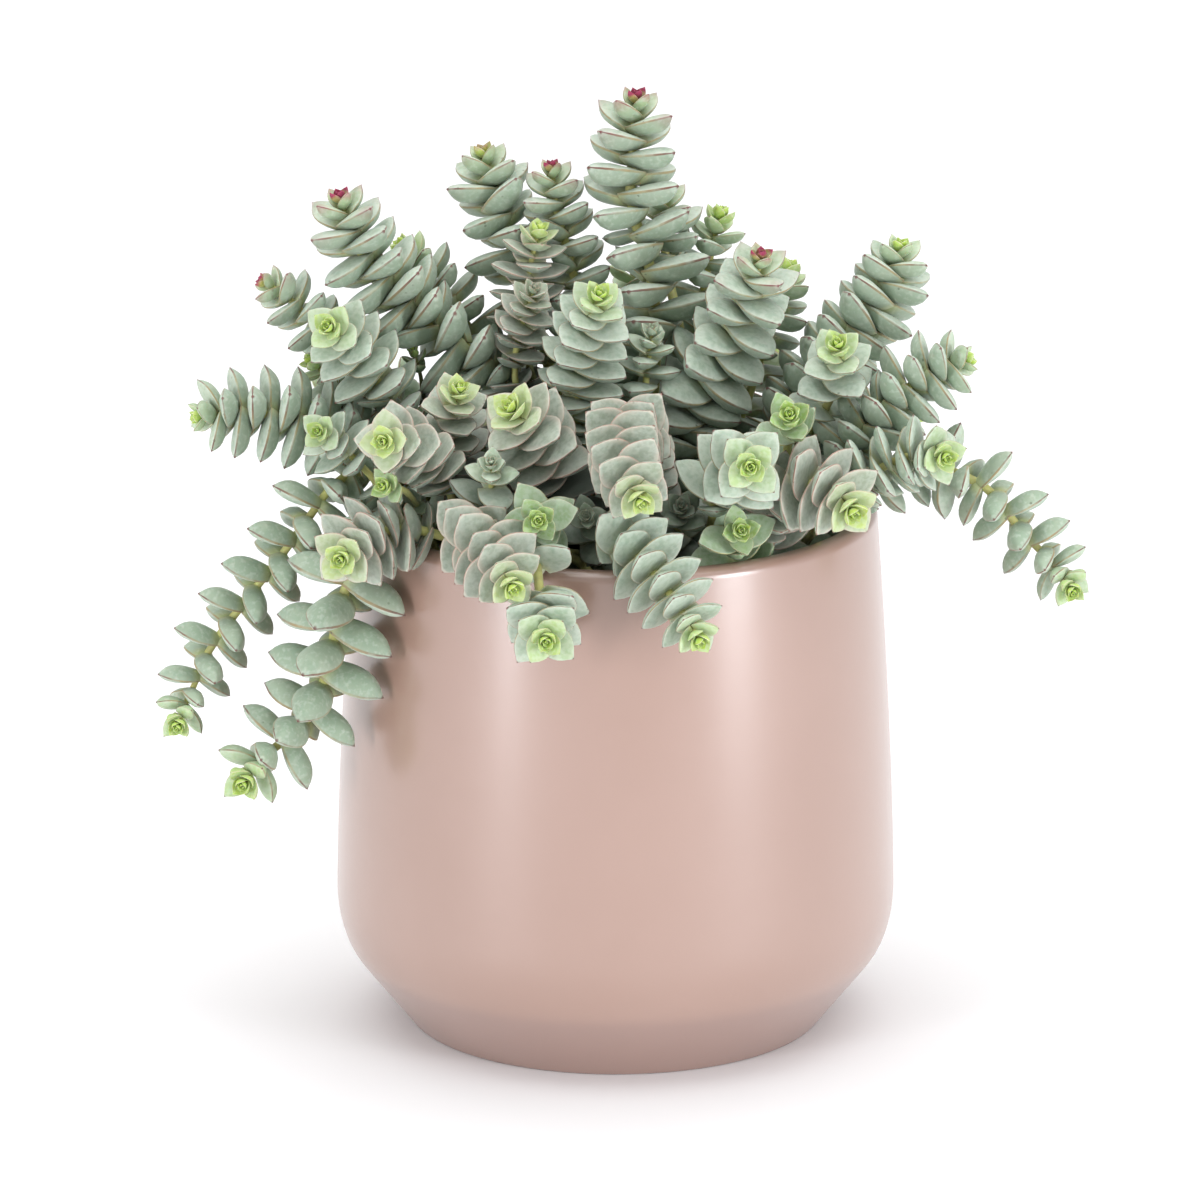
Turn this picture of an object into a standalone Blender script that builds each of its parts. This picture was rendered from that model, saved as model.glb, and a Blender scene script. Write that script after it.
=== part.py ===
"""Potted crassula: a string-of-buttons succulent that spills out of a dusty rose cover pot.

Run it with blender --background --python part.py, or from Blender's text editor.
The pot's foot is centred on the origin, +Z is up, and the side in the photograph faces -Y.
Lengths below are millimetres, and the scene is in metres.
"""

import math
import random
from dataclasses import dataclass

import bmesh
import bpy
from mathutils import Quaternion, Vector
from mathutils.bvhtree import BVHTree
from mathutils.kdtree import KDTree

MM = 0.001
CLEARANCE = 0.3
SINK = 0.5

# Pot, a turned ceramic shell that tapers to its foot and a little to its rim
POT_HEIGHT = 132.0
POT_FOOT_RADIUS = 51.8
POT_CHAMFER_RADIUS = 66.6
POT_CHAMFER_TOP = 18.6
POT_BELLY_RADIUS = 70.0
POT_BELLY_TOP = 33.0
POT_RIM_RADIUS = 64.9
POT_TAPER_POWER = 1.5
POT_WALL = 4.5
POT_FLOOR = 6.0
POT_SIDES = 28
POT_CORNER = 2.0
LIP_DEPTH = 2.6
LIP_ROUND = 0.7
FOOT_ROUND = 0.8
POT_COLOUR = (0.62, 0.45, 0.41)

# Soil, level in the pot, with a blind hole for each stem
SOIL_TOP = 118.0
HOLE_DEPTH = 8.0
HOLE_ROOM = 0.35
HOLE_SIDES = 4
HOLE_OVERCUT = 4.0
ROOTS_RADIUS = 52.0
ROOT_LEAD = 4.0
SWAP_GAIN = 0.01
HOLE_ENTRY = 1.5
GOLDEN_ANGLE = math.radians(137.508)
SOIL_COLOUR = (0.05, 0.035, 0.025)

# Stems: their thickness, and how far apart their middle lines are kept
STEM_RADIUS_PER_LEAF = 0.165
STEM_SIDES = 3
CORE_DEPTH = 0.9
ROUTE_STEP = 6.0
CURVE_PARTS = 8
DIRECTION_REACH = 1.5
STEM_SPACING = 8.0
LIP_SPACING = 6.2
SPREADING_ROUNDS = 40
SPREADING_SHARE = 0.6
SPREADING_RISE = 0.5
PINNED_PLACES = 3
TIP_STIFFNESS = 0.12
BARE_STEP = 13.0
STEM_PER_HALF_WIDTH = 0.36
LOWER_STEM_SWELL = 1.1

# Leaves near a tip, from the innermost pair out: length, gap to the next pair and added lift
ROSETTE_LENGTHS = (0.5, 0.64, 0.76, 0.87, 0.95)
BUD_LENGTHS = (0.42, 0.64, 0.84, 0.95, 1.0)
YOUNG_GAPS = (0.42, 0.55, 0.7, 0.84, 0.95)
BUD_LIFTS = (42.0, 28.0, 15.0, 7.0, 3.0)
ROSETTE_LIFTS = (36.0, 25.0, 16.0, 8.0, 3.0)
TIP_SHARE = 0.16

# Grown leaves vary by chance: their share of the stem's leaf length, and lift and turn in degrees
LENGTH_SPREAD = (0.95, 1.06)
FIRST_SHARE = 0.93
GROWTH_PER_PAIR = 0.018
LIFT_SPREAD = 4
TURN_SPREAD = 6

# Leaf outline in shares of its length and half width, from the stem to the tip
WIDEST_AT = 0.34
SHOULDER_AT = 0.74
SHOULDER_WIDTH = 0.66
KEEL_AT = 0.56
PLAIN_LEAF_LENGTH = 10.3
PLAIN_WIDEST_AT = 0.46
HINGE_PER_RADIUS = 1.15
CORE_PER_THICKNESS = 0.35

# Ways out for a leaf that would touch another stem: turns of the pair, then lift and size
PAIR_TURNS = (0, 12, -12, 24, -24, 36, -36)
LEAF_FITS = ((0, 1.0), (12, 1.0), (-12, 1.0), (0, 0.86), (24, 0.9), (12, 0.76), (36, 0.78),
             (0, 0.64), (48, 0.6))
STUNTED_LEAF = (55, 0.34)
RANDOM_SEED = 27

# A leaf is tested swollen by this much, and by a share of it over, under and beyond the leaf
PROBE_SWELL = 0.75
SWELL_OVER = 0.4
SWELL_UNDER = 0.6
SWELL_BEYOND = 1.5
GUARD_STEP = 5.0

# Union: coplanar faces are merged below this angle
FLAT_ANGLE = math.radians(0.4)


@dataclass(frozen=True)
class Habit:
    """How one kind of shoot carries its leaves, in shares of the leaf's length and degrees."""

    half_width: float
    thickness: float
    lift: float
    colour: tuple


OPEN = Habit(0.49, 0.32, 5.0, (0.36, 0.47, 0.34))
BROAD = Habit(0.56, 0.24, 7.0, (0.36, 0.47, 0.34))
DENSE = Habit(0.57, 0.22, 7.0, (0.52, 0.54, 0.42))
TRAILING = Habit(0.42, 0.34, 9.0, (0.32, 0.45, 0.36))
YOUNG = Habit(0.47, 0.26, 14.0, (0.46, 0.58, 0.25))


@dataclass(frozen=True)
class Stem:
    """One leafy stem: its leaves and its route in millimetres from the tip back to the soil."""

    name: str
    habit: Habit
    leaf: float
    gap: float
    pairs: int
    rosette: bool
    turn: float
    route: tuple


STEMS = (
    Stem("spire", OPEN, 11.8, 4.9, 15, False, 45,
         ((5, 16, 231.5), (4, 16, 216), (4, 14, 204), (8, 12, 191), (10, 10, 174), (9, 8, 151))),
    Stem("over_left", DENSE, 8.8, 3.1, 8, True, 30,
         ((-24.5, -86, 134.5), (-26.4, -79, 136.5), (-30.5, -69, 138.8), (-33.5, -59, 139.6),
          (-33, -50, 137))),
    Stem("over_twin", BROAD, 9.8, 3.3, 6, True, 50,
         ((-16.5, -91, 122.8), (-17, -84, 123.8), (-18, -76, 129), (-19, -67, 135),
          (-20, -59, 137.5), (-20, -50, 133))),
    Stem("over_front", BROAD, 8.4, 3.5, 9, True, 30,
         ((19.8, -90, 122.8), (17.3, -84, 126), (12.5, -77, 131.2), (7, -69, 136),
          (1.5, -60, 138.8), (-1, -52, 137))),
    Stem("arch_front", DENSE, 9.0, 3.3, 11, True, 45,
         ((6, -76, 153), (4, -68, 156.5), (2, -58, 159.5), (2, -48, 161.5), (4, -38, 160),
          (6, -31, 152))),
    Stem("front_rosette", BROAD, 10.0, 3.8, 6, True, 40,
         ((32.2, -67, 159.2), (31.5, -59, 157.5), (28.5, -51, 153.5), (24, -44, 145))),
    Stem("right_rosette", DENSE, 10.5, 3.4, 8, True, 30,
         ((57.2, -59, 145.8), (53.5, -52, 148), (46, -46, 149.5), (39, -40, 145))),
    Stem("trail_near", TRAILING, 11.4, 6.0, 13, True, 45,
         ((-91, -43, 72.8), (-89.4, -37, 74.2), (-85.5, -34, 77.5), (-77, -34, 85), (-72, -37, 95),
          (-69, -40, 108), (-66, -41, 121), (-61, -40, 131), (-53, -34, 137), (-45, -30, 133))),
    Stem("trail_far", TRAILING, 8.8, 5.4, 16, True, 45,
         ((-107.8, -31, 84), (-107, -25, 86), (-104, -22, 91.5), (-100.5, -22, 100), (-92, -22, 112),
          (-83, -24, 124), (-75, -23, 135), (-68, -19, 143), (-59, -15, 143), (-50, -12, 131))),
    Stem("trail_right", TRAILING, 8.9, 4.8, 13, True, 45,
         ((111.8, -31, 118.6), (110.3, -25, 120.4), (105.8, -22, 124.5), (98, -22, 133), (92, -22, 141),
          (84, -20, 145), (74, -14, 146), (63, -8, 140), (53, -6, 129))),
    Stem("big_cream", DENSE, 10.8, 3.2, 11, True, 50,
         ((-25.5, -44, 168), (-21, -38, 160), (-17, -32, 151), (-15, -28, 141), (-15, -27, 132))),
    Stem("twin_yellow", DENSE, 9.2, 3.2, 8, True, 15,
         ((-56, -54, 162), (-53.5, -47, 160), (-47, -40, 155), (-41, -35, 146), (-38, -34, 132))),
    Stem("red_left", OPEN, 11.2, 4.1, 14, False, 45,
         ((-68, 4, 209), (-65, 5, 198), (-57, 6, 187), (-46, 6, 176), (-33, 6, 167),
          (-21, 5, 150))),
    Stem("far_left", OPEN, 10.0, 3.6, 11, False, 45,
         ((-103, -15, 158), (-95, -13, 158.5), (-84, -11, 157.5), (-72, -9, 154), (-58, -6, 146),
          (-48, -5, 132))),
    Stem("tall_right", OPEN, 10.8, 3.6, 12, False, 45,
         ((70.5, 12, 195), (69, 12, 188), (65, 10, 180), (57, 8, 171), (49, 4, 160), (41, 0, 147))),
    Stem("red_right", OPEN, 11.0, 4.2, 13, False, 30,
         ((35.5, -14, 198.5), (33.6, -11, 189), (29.8, -7, 178.5), (26, -3, 170), (21, 0, 162),
          (18, 2, 148))),
    Stem("far_right", OPEN, 9.5, 3.4, 12, False, 45,
         ((86.5, -17, 173.2), (80, -17, 171), (71, -18, 166), (62, -21, 157), (55, -24, 148),
          (46, -25, 138))),
    Stem("left_rosette", BROAD, 9.5, 3.8, 8, True, 45,
         ((-70, -24, 183), (-67.5, -18, 179.5), (-63.5, -13, 173), (-58.5, -10, 165.5), (-52, -8, 154),
          (-43, -8, 135))),
    Stem("blue_rosette", BROAD, 9.2, 3.2, 10, True, 45,
         ((-4, -24, 191), (-6, -18, 181), (-8, -14, 172), (-9, -12, 162), (-9, -10, 143))),
    Stem("green_right", BROAD, 9.2, 3.8, 6, True, 30,
         ((54, -26, 179), (54, -20, 171), (52, -15, 161), (46, -11, 149))),
    Stem("cream_rosette", DENSE, 8.5, 3.3, 6, True, 20,
         ((-38, -34, 170), (-40, -30, 163), (-40, -26, 154), (-38, -22, 139))),
    Stem("left_cream", DENSE, 9.8, 3.3, 8, True, 45,
         ((-66.3, -62, 134.8), (-64.6, -56, 134.8), (-60.5, -50.5, 136.5), (-53, -46, 138.2),
          (-44, -41.5, 136), (-38, -36, 129))),
    Stem("right_drop", BROAD, 9.0, 3.4, 8, True, 15,
         ((79.7, -46, 156), (76, -40, 155.5), (69, -38, 153.5), (59, -36, 147), (50, -32, 137))),
    Stem("pink_left", OPEN, 11.4, 4.4, 9, False, 45,
         ((-33, 28, 215), (-31, 27, 205), (-27, 25, 194), (-21, 22, 178), (-15, 18, 156))),
    Stem("red_mid", OPEN, 9.5, 4.2, 9, False, 45,
         ((-16, 20, 213), (-15, 20, 203), (-12, 19, 192), (-9, 18, 178), (-6, 14, 155))),
    Stem("pink_outer", OPEN, 9.0, 4.4, 6, False, 45,
         ((-87, 6, 187), (-80, 6, 182), (-71, 6, 172), (-57, 5, 157), (-44, 2, 140))),
    Stem("mid_green", DENSE, 8.0, 3.0, 9, True, 10,
         ((-19, 8, 200), (-21, 9, 191), (-22, 10, 179), (-20, 8, 156))),
    Stem("grey_knot", DENSE, 7.0, 2.7, 7, True, 45,
         ((-20, -6, 188), (-23, -2, 178), (-25, 0, 167), (-24, 0, 151))),
    Stem("left_behind", OPEN, 9.8, 4.5, 7, True, 45,
         ((-53, 22, 192), (-47, 22, 185), (-38, 20, 174), (-29, 16, 157))),
    Stem("spire_twin", OPEN, 10.4, 4.4, 6, False, 45,
         ((12, 26, 206), (12, 26, 195), (13, 25, 184), (16, 23, 171), (18, 20, 155))),
    Stem("green_back", OPEN, 9.0, 4.1, 6, True, 70,
         ((26, 32, 198), (24, 31, 189), (22, 30, 179), (20, 28, 159))),
    Stem("right_behind", OPEN, 9.0, 4.5, 6, True, 35,
         ((43, 20, 187), (41, 18, 179), (37, 15, 169), (32, 12, 153))),
    Stem("grey_small", OPEN, 7.5, 3.6, 5, True, 60,
         ((9, -9, 178), (8, -7, 170), (7, -6, 160), (6, -6, 147))),
    Stem("lime_star", YOUNG, 9.4, 3.8, 3, True, 25,
         ((42, -44, 166), (42, -37, 160), (41, -32, 150))),
    Stem("green_star", YOUNG, 8.0, 3.4, 3, True, 40,
         ((-18.5, -70, 146.8), (-18.5, -63, 145), (-18.6, -54, 140), (-19, -44, 131))),
    Stem("rim_star", YOUNG, 8.5, 3.4, 3, True, 20,
         ((30.2, -58, 141), (29, -52, 138), (28, -47, 132))),
    Stem("left_small", OPEN, 8.2, 3.9, 4, True, 15,
         ((-75, 5, 167), (-69, 6, 162), (-60, 7, 152), (-52, 7, 138))),
    Stem("left_bud", BROAD, 7.2, 3.2, 5, True, 50,
         ((-72.5, -33, 159), (-70.5, -28, 156.8), (-66, -25, 152), (-59.5, -22, 144), (-51, -20, 131))),
    Stem("low_bud", YOUNG, 7.0, 3.6, 3, True, 30,
         ((-56, -54, 151), (-51, -44, 147), (-46, -36, 137))),
    Stem("left_green", YOUNG, 5.5, 4.0, 3, True, 10,
         ((-50, 3, 170), (-48, 4, 162), (-46, 4, 148))),
    Stem("grey_pair", OPEN, 8.0, 4.0, 3, True, 80,
         ((-30, -52, 156), (-30, -46, 148), (-31, -41, 136))),
    Stem("pebbles", OPEN, 7.5, 3.8, 3, True, 5,
         ((-7, -56, 144), (-6, -50, 140), (-5, -45, 132))),
    Stem("grey_right", OPEN, 9.5, 4.0, 3, True, 50,
         ((16, -44, 143), (16, -39, 138), (15, -34, 131))),
    Stem("back_spire", OPEN, 10.0, 4.8, 7, True, 25,
         ((4, 40, 184), (5, 38, 172), (6, 34, 156), (6, 32, 140))),
    Stem("back_left", OPEN, 9.5, 4.6, 6, True, 60,
         ((-60, 40, 152), (-52, 38, 150), (-42, 34, 144), (-34, 30, 134))),
    Stem("back_mid_left", DENSE, 10.0, 3.8, 6, True, 35,
         ((-38, 58, 158), (-32, 50, 152), (-26, 42, 142), (-24, 38, 132))),
    Stem("back_mid", OPEN, 10.0, 4.4, 6, True, 10,
         ((-10, 66, 152), (-10, 56, 154), (-8, 46, 146), (-8, 42, 134))),
    Stem("back_mid_right", OPEN, 10.0, 4.4, 6, True, 45,
         ((14, 62, 162), (12, 54, 156), (10, 46, 144), (10, 42, 134))),
    Stem("back_right", DENSE, 9.5, 3.8, 6, True, 70,
         ((38, 58, 156), (32, 50, 152), (26, 42, 142), (24, 38, 132))),
    Stem("back_far_right", OPEN, 10.0, 4.6, 6, True, 30,
         ((60, 40, 158), (51, 36, 154), (43, 32, 144), (38, 28, 132))),
    Stem("back_low_right", OPEN, 9.5, 4.2, 6, True, 55,
         ((62, 58, 132), (55, 50, 140), (46, 42, 138), (40, 38, 130))),
    Stem("back_low_left", OPEN, 9.5, 4.2, 6, True, 15,
         ((-64, 52, 128), (-57, 46, 138), (-48, 39, 137), (-42, 35, 130))),
    Stem("back_side_left", OPEN, 9.5, 4.6, 6, True, 40,
         ((-76, 22, 152), (-67, 21, 152), (-57, 19, 146), (-50, 16, 133))),
    Stem("back_side_right", OPEN, 9.5, 4.6, 6, True, 65,
         ((74, 20, 150), (67, 18, 151), (60, 15, 146), (54, 12, 133))),
    Stem("trail_back_right", TRAILING, 11.0, 6.0, 9, True, 45,
         ((56, 80, 86), (49, 76, 102), (42, 69, 120), (36, 59, 134), (31, 50, 137),
          (28, 44, 130))),
    Stem("trail_back_left", TRAILING, 11.0, 6.0, 9, True, 45,
         ((-48, 84, 94), (-44, 78, 108), (-38, 70, 124), (-33, 60, 135), (-29, 51, 137),
          (-26, 46, 130))),
    Stem("over_back", OPEN, 10.0, 4.2, 8, True, 75,
         ((8, 90, 118), (7, 81, 130), (4, 70, 138), (2, 60, 138), (1, 54, 132))),
)


@dataclass
class Leaf:
    """One leaf of a pair: lifted from square to the stem by its angle in degrees."""

    length: float
    half_width: float
    thickness: float
    lift: float

    def changed(self, lift, size):
        """Returns the leaf lifted further and made smaller."""
        return Leaf(self.length * size, self.half_width * size, self.thickness * size, self.lift + lift)


@dataclass
class Pair:
    """Two opposite leaves fused round the stem, at a place with its own three directions."""

    place: Vector
    out: Vector
    across: Vector
    up: Vector
    leaf: Leaf
    radius: float
    along: float

    def turned(self, degrees):
        """Returns the pair turned about the stem."""
        turn = Quaternion(self.up, math.radians(degrees))
        out, across = turn @ self.out, turn @ self.across
        return Pair(self.place, out, across, self.up, self.leaf, self.radius, self.along)


def clear_scene():
    """Removes every object, so that the script builds the same model each time."""
    for item in list(bpy.data.objects):
        bpy.data.objects.remove(item, do_unlink=True)


def principled(name, colour, roughness):
    """Returns a Principled material in one colour."""
    material = bpy.data.materials.new(name)
    material.use_nodes = True
    shader = material.node_tree.nodes["Principled BSDF"]
    shader.inputs["Base Color"].default_value = (*colour, 1.0)
    shader.inputs["Roughness"].default_value = roughness
    shader.inputs["Metallic"].default_value = 0.0
    return material


def mesh_object(name, points, faces, collection, scale=MM):
    """Makes an object from points in millimetres and their faces."""
    mesh = bpy.data.meshes.new(name)
    mesh.from_pydata([tuple(point * scale) for point in points], [], faces)
    mesh.update()
    item = bpy.data.objects.new(name, mesh)
    collection.objects.link(item)
    return item


def turned_object(name, profile, collection):
    """Makes an upright turned solid from a profile of (radius, height) in millimetres."""
    mesh = bpy.data.meshes.new(name)
    points = [(radius * MM, 0.0, height * MM) for radius, height in profile]
    mesh.from_pydata(points, [(number, number + 1) for number in range(len(points) - 1)], [])
    item = bpy.data.objects.new(name, mesh)
    collection.objects.link(item)
    screw = item.modifiers.new("turn", 'SCREW')
    screw.steps = POT_SIDES
    screw.render_steps = POT_SIDES
    screw.use_merge_vertices = True
    screw.merge_threshold = 0.00001
    screw.use_smooth_shade = False
    return item


def pot_radius(height):
    """Returns the pot's outer radius at a height above its foot."""
    if height <= POT_CHAMFER_TOP:
        return POT_FOOT_RADIUS + (POT_CHAMFER_RADIUS - POT_FOOT_RADIUS) * height / POT_CHAMFER_TOP
    if height <= POT_BELLY_TOP:
        share = (POT_BELLY_TOP - height) / (POT_BELLY_TOP - POT_CHAMFER_TOP)
        return POT_BELLY_RADIUS - (POT_BELLY_RADIUS - POT_CHAMFER_RADIUS) * share ** 2
    share = (height - POT_BELLY_TOP) / (POT_HEIGHT - POT_BELLY_TOP)
    return POT_BELLY_RADIUS - (POT_BELLY_RADIUS - POT_RIM_RADIUS) * share ** POT_TAPER_POWER


def inner_profile(top, inset):
    """Returns the pot's inside from its floor's edge up to a height, moved in by an inset."""
    heights = (POT_FLOOR + POT_CORNER, POT_CHAMFER_TOP + 4.0, POT_BELLY_TOP + 6.0, 80.0, top)
    floor = POT_FLOOR + inset
    wall = [(pot_radius(height) - POT_WALL - inset, height) for height in heights]
    return [(wall[0][0] - POT_CORNER, floor)] + wall


def build_pot(collection):
    """Builds the ceramic pot as one turned shell with a rounded lip."""
    rim = POT_RIM_RADIUS
    shoulder = POT_HEIGHT - LIP_ROUND
    lip = [(rim - POT_WALL + LIP_ROUND, shoulder), (rim - POT_WALL / 2, POT_HEIGHT),
           (rim - LIP_ROUND, shoulder)]
    belly = (84.0, POT_BELLY_TOP + 4.0, POT_BELLY_TOP - 6.0, POT_CHAMFER_TOP)
    heights = (POT_HEIGHT - LIP_DEPTH, *belly, FOOT_ROUND)
    outer = [(pot_radius(height), height) for height in heights]
    foot = [(POT_FOOT_RADIUS - FOOT_ROUND / 2, 0.0), (0.0, 0.0)]
    profile = [(0.0, POT_FLOOR)] + inner_profile(POT_HEIGHT - LIP_DEPTH, 0.0) + lip + outer + foot
    pot = turned_object("pot", profile, collection)
    pot.data.materials.append(principled("dusty rose ceramic", POT_COLOUR, 0.34))
    return pot


def smooth_places(points, step):
    """Returns places a step apart on the smooth curve through the points."""
    ends = [points[0] * 2 - points[1]] + points + [points[-1] * 2 - points[-2]]
    fine = [points[0]]
    for first, start, end, last in zip(ends, ends[1:], ends[2:], ends[3:]):
        for part in range(1, CURVE_PARTS + 1):
            share = part / CURVE_PARTS
            bend = (start * 2 + (end - first) * share + (first * 2 - start * 5 + end * 4 - last) * share ** 2
                    + (start * 3 - first - end * 3 + last) * share ** 3)
            fine.append(bend / 2)
    places = [fine[0].copy()]
    left = step
    for start, end in zip(fine, fine[1:]):
        length = (end - start).length
        while left <= length:
            places.append(start.lerp(end, left / length))
            left += step
        left -= length
    if (places[-1] - fine[-1]).length > step / 3:
        places.append(fine[-1].copy())
    return places


def root_places(count):
    """Returns places for the roots, spread evenly over the soil on a sunflower spiral."""
    places = []
    for number in range(count):
        reach = ROOTS_RADIUS * math.sqrt((number + 0.5) / count)
        angle = number * GOLDEN_ANGLE
        places.append(Vector((reach * math.cos(angle), reach * math.sin(angle), SOIL_TOP)))
    return places


def away_squared(one, other):
    """Returns the square of the distance between two places."""
    return (one - other).length_squared


def stem_roots():
    """Returns a root place for each stem, swapped about until no swap would shorten two stems."""
    feet = [Vector((*stem.route[-1][:2], SOIL_TOP)) for stem in STEMS]
    roots = root_places(len(STEMS))
    swapped = True
    while swapped:
        swapped = False
        for one in range(len(roots)):
            for other in range(one):
                now = away_squared(roots[one], feet[one]) + away_squared(roots[other], feet[other])
                then = away_squared(roots[other], feet[one]) + away_squared(roots[one], feet[other])
                if then < now - SWAP_GAIN:
                    roots[one], roots[other] = roots[other], roots[one]
                    swapped = True
    return roots


def rooted_routes():
    """Returns each stem's route, led on to its root and down into its hole."""
    routes = {}
    for stem, root in zip(STEMS, stem_roots()):
        points = [Vector(point) for point in stem.route]
        points.append(root + Vector((0, 0, ROOT_LEAD)))
        points.append(root - Vector((0, 0, HOLE_DEPTH - CLEARANCE)))
        routes[stem.name] = smooth_places(points, ROUTE_STEP)
        routes[stem.name][-1] = points[-1]
    return routes


def push_from_lip(place):
    """Returns how far a place on a stem has to move to lie clear over the pot's lip."""
    reach = math.hypot(place.x, place.y)
    middle = POT_RIM_RADIUS - POT_WALL / 2
    lip = Vector((place.x * middle / reach, place.y * middle / reach, POT_HEIGHT - POT_WALL / 2))
    away = place - lip
    return away.normalized() * max(0.0, LIP_SPACING - away.length)


def spread_apart(routes):
    """Bends the routes clear of one another, the tips least and the ends in the soil not at all."""
    names = [stem.name for stem in STEMS]
    for _ in range(SPREADING_ROUNDS):
        tree = KDTree(sum(len(routes[name]) for name in names))
        owners = []
        for name in names:
            for place in routes[name]:
                tree.insert(place, len(owners))
                owners.append(name)
        tree.balance()
        for name in names:
            route = routes[name]
            moved = []
            for number, place in enumerate(route):
                push = Vector()
                for other, index, distance in tree.find_range(place, STEM_SPACING):
                    if owners[index] != name and distance > 0:
                        push += (place - other) / distance * (STEM_SPACING - distance) / 2
                share = min(1.0, TIP_STIFFNESS + number / len(route))
                push.z *= SPREADING_RISE
                moved.append(place + push * share * SPREADING_SHARE + push_from_lip(place))
            for number in range(len(route) - PINNED_PLACES):
                route[number] = moved[number]
    return routes


class Route:
    """A stem's middle line: places and directions at lengths from the tip."""

    def __init__(self, places):
        self.places = smooth_places(places, 1.0)

    def length(self):
        """Returns the whole length of the line."""
        return len(self.places) - 1.0

    def place(self, along):
        """Returns the place at a length from the tip."""
        along = min(max(along, 0.0), self.length())
        number = min(int(along), len(self.places) - 2)
        return self.places[number].lerp(self.places[number + 1], along - number)

    def toward_tip(self, along):
        """Returns the direction in which the stem grows at a length from the tip."""
        return (self.place(along - DIRECTION_REACH) - self.place(along + DIRECTION_REACH)).normalized()


def planned_pairs(stem, route, chance):
    """Returns the stem's pairs from the tip down, each a quarter turn on from the one above."""
    lengths, lifts = (ROSETTE_LENGTHS, ROSETTE_LIFTS) if stem.rosette else (BUD_LENGTHS, BUD_LIFTS)
    along = TIP_SHARE * stem.leaf
    up = route.toward_tip(along)
    out = Vector((1, 0, 0)) - up * up.x
    out = Quaternion(up, math.radians(stem.turn)) @ out.normalized()
    pairs = []
    for number in range(stem.pairs):
        young = number < len(lengths)
        length = stem.leaf * (FIRST_SHARE + GROWTH_PER_PAIR * number)
        length *= lengths[number] if young else chance.uniform(*LENGTH_SPREAD)
        lift = stem.habit.lift + (lifts[number] if young else chance.uniform(-LIFT_SPREAD, LIFT_SPREAD))
        habit = stem.habit
        leaf = Leaf(length, habit.half_width * length, habit.thickness * length, lift)
        up_here = route.toward_tip(along)
        out = up.rotation_difference(up_here) @ out
        out = (out - up_here * out.dot(up_here)).normalized()
        up = up_here
        out = Quaternion(up, math.radians(90 + chance.uniform(-TURN_SPREAD, TURN_SPREAD))) @ out
        radius = min(STEM_RADIUS_PER_LEAF * stem.leaf, STEM_PER_HALF_WIDTH * leaf.half_width)
        pairs.append(Pair(route.place(along), out, up.cross(out), up, leaf, radius, along))
        along += stem.gap * (YOUNG_GAPS[number] if young else 1.0)
    return pairs


def leaf_points(pair, leaf, side, swell=0.0):
    """Returns a leaf's tip, shoulders, widest points and keel; side is 1 or -1."""
    lift = math.radians(leaf.lift)
    away = pair.out * side
    along = away * math.cos(lift) + pair.up * math.sin(lift)
    over = pair.up * math.cos(lift) - away * math.sin(lift)
    hinge = pair.place + away * (pair.radius * HINGE_PER_RADIUS) + over * (swell * SWELL_OVER)
    wide = leaf.half_width + swell
    plain = leaf.length < PLAIN_LEAF_LENGTH
    widest_at = leaf.length * (PLAIN_WIDEST_AT if plain else WIDEST_AT)
    across = pair.across * side
    points = [hinge + along * (leaf.length + swell * SWELL_BEYOND)]
    if not plain:
        shoulder = hinge + along * (leaf.length * SHOULDER_AT + swell)
        points += [shoulder + across * wide * SHOULDER_WIDTH, shoulder - across * wide * SHOULDER_WIDTH]
    middle = hinge + along * widest_at
    points += [middle + across * wide, middle - across * wide]
    points.append(hinge + along * leaf.length * KEEL_AT - over * (leaf.thickness + swell * SWELL_UNDER))
    return points


def closed_leaf(pair, leaf, side, swell=0.0):
    """Returns one leaf as a closed solid, swollen to test whether it clears the others."""
    points = leaf_points(pair, leaf, side, swell)
    keel = len(points) - 1
    wide, other_wide = keel - 2, keel - 1
    beside, other_beside, low = keel + 1, keel + 2, keel + 3
    for corner in (points[wide], points[other_wide]):
        points.append(corner - pair.out * (corner - pair.place).dot(pair.out))
    points.append(pair.place - pair.up * (core_depth(leaf) + CLEARANCE))
    rim, other_rim = [0, wide], [0, other_wide]
    top = [(0, wide, other_wide)]
    if keel == 5:
        rim, other_rim = [0, 1, wide], [0, 2, other_wide]
        top = [(0, 1, 2), (1, wide, other_wide), (1, other_wide, 2)]
    top += [(wide, beside, other_beside), (wide, other_beside, other_wide)]
    under = [(end, start, keel) for start, end in zip(rim, rim[1:])]
    under += [(start, end, keel) for start, end in zip(other_rim, other_rim[1:])]
    closing = [(beside, wide, low), (wide, keel, low), (keel, other_wide, low),
               (other_wide, other_beside, low), (other_beside, beside, low)]
    return points, top + under + closing


def core_depth(leaf):
    """Returns how deep the fused base of a pair reaches below its place."""
    return max(CORE_DEPTH, leaf.thickness * CORE_PER_THICKNESS)


def stem_ring(place, out, across, radius):
    """Returns the stem's corners round a place, the middle one under the pair's second leaf."""
    ring = []
    for number in range(STEM_SIDES):
        angle = math.pi * (2 * number + 1) / STEM_SIDES
        ring.append(place + out * (radius * math.cos(angle)) + across * (radius * math.sin(angle)))
    return ring


def platform_height(pair, leaves):
    """Returns how high the fused base of the two leaves stands above the pair's place."""
    wides = leaf_points(pair, leaves[0], 1)[-3:-1] + leaf_points(pair, leaves[1], -1)[-3:-1]
    return min((wide - pair.place).dot(pair.up) for wide in wides)


def stem_rings(pair, stops, radius):
    """Returns the rings of a bare stretch of stem, from a pair down through places and directions."""
    rings = []
    out, up = pair.out, pair.up
    for place, up_here in stops:
        out = up.rotation_difference(up_here) @ out
        out = (out - up_here * out.dot(up_here)).normalized()
        up = up_here
        rings.append(stem_ring(place, out, up.cross(out), radius))
    return rings


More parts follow.
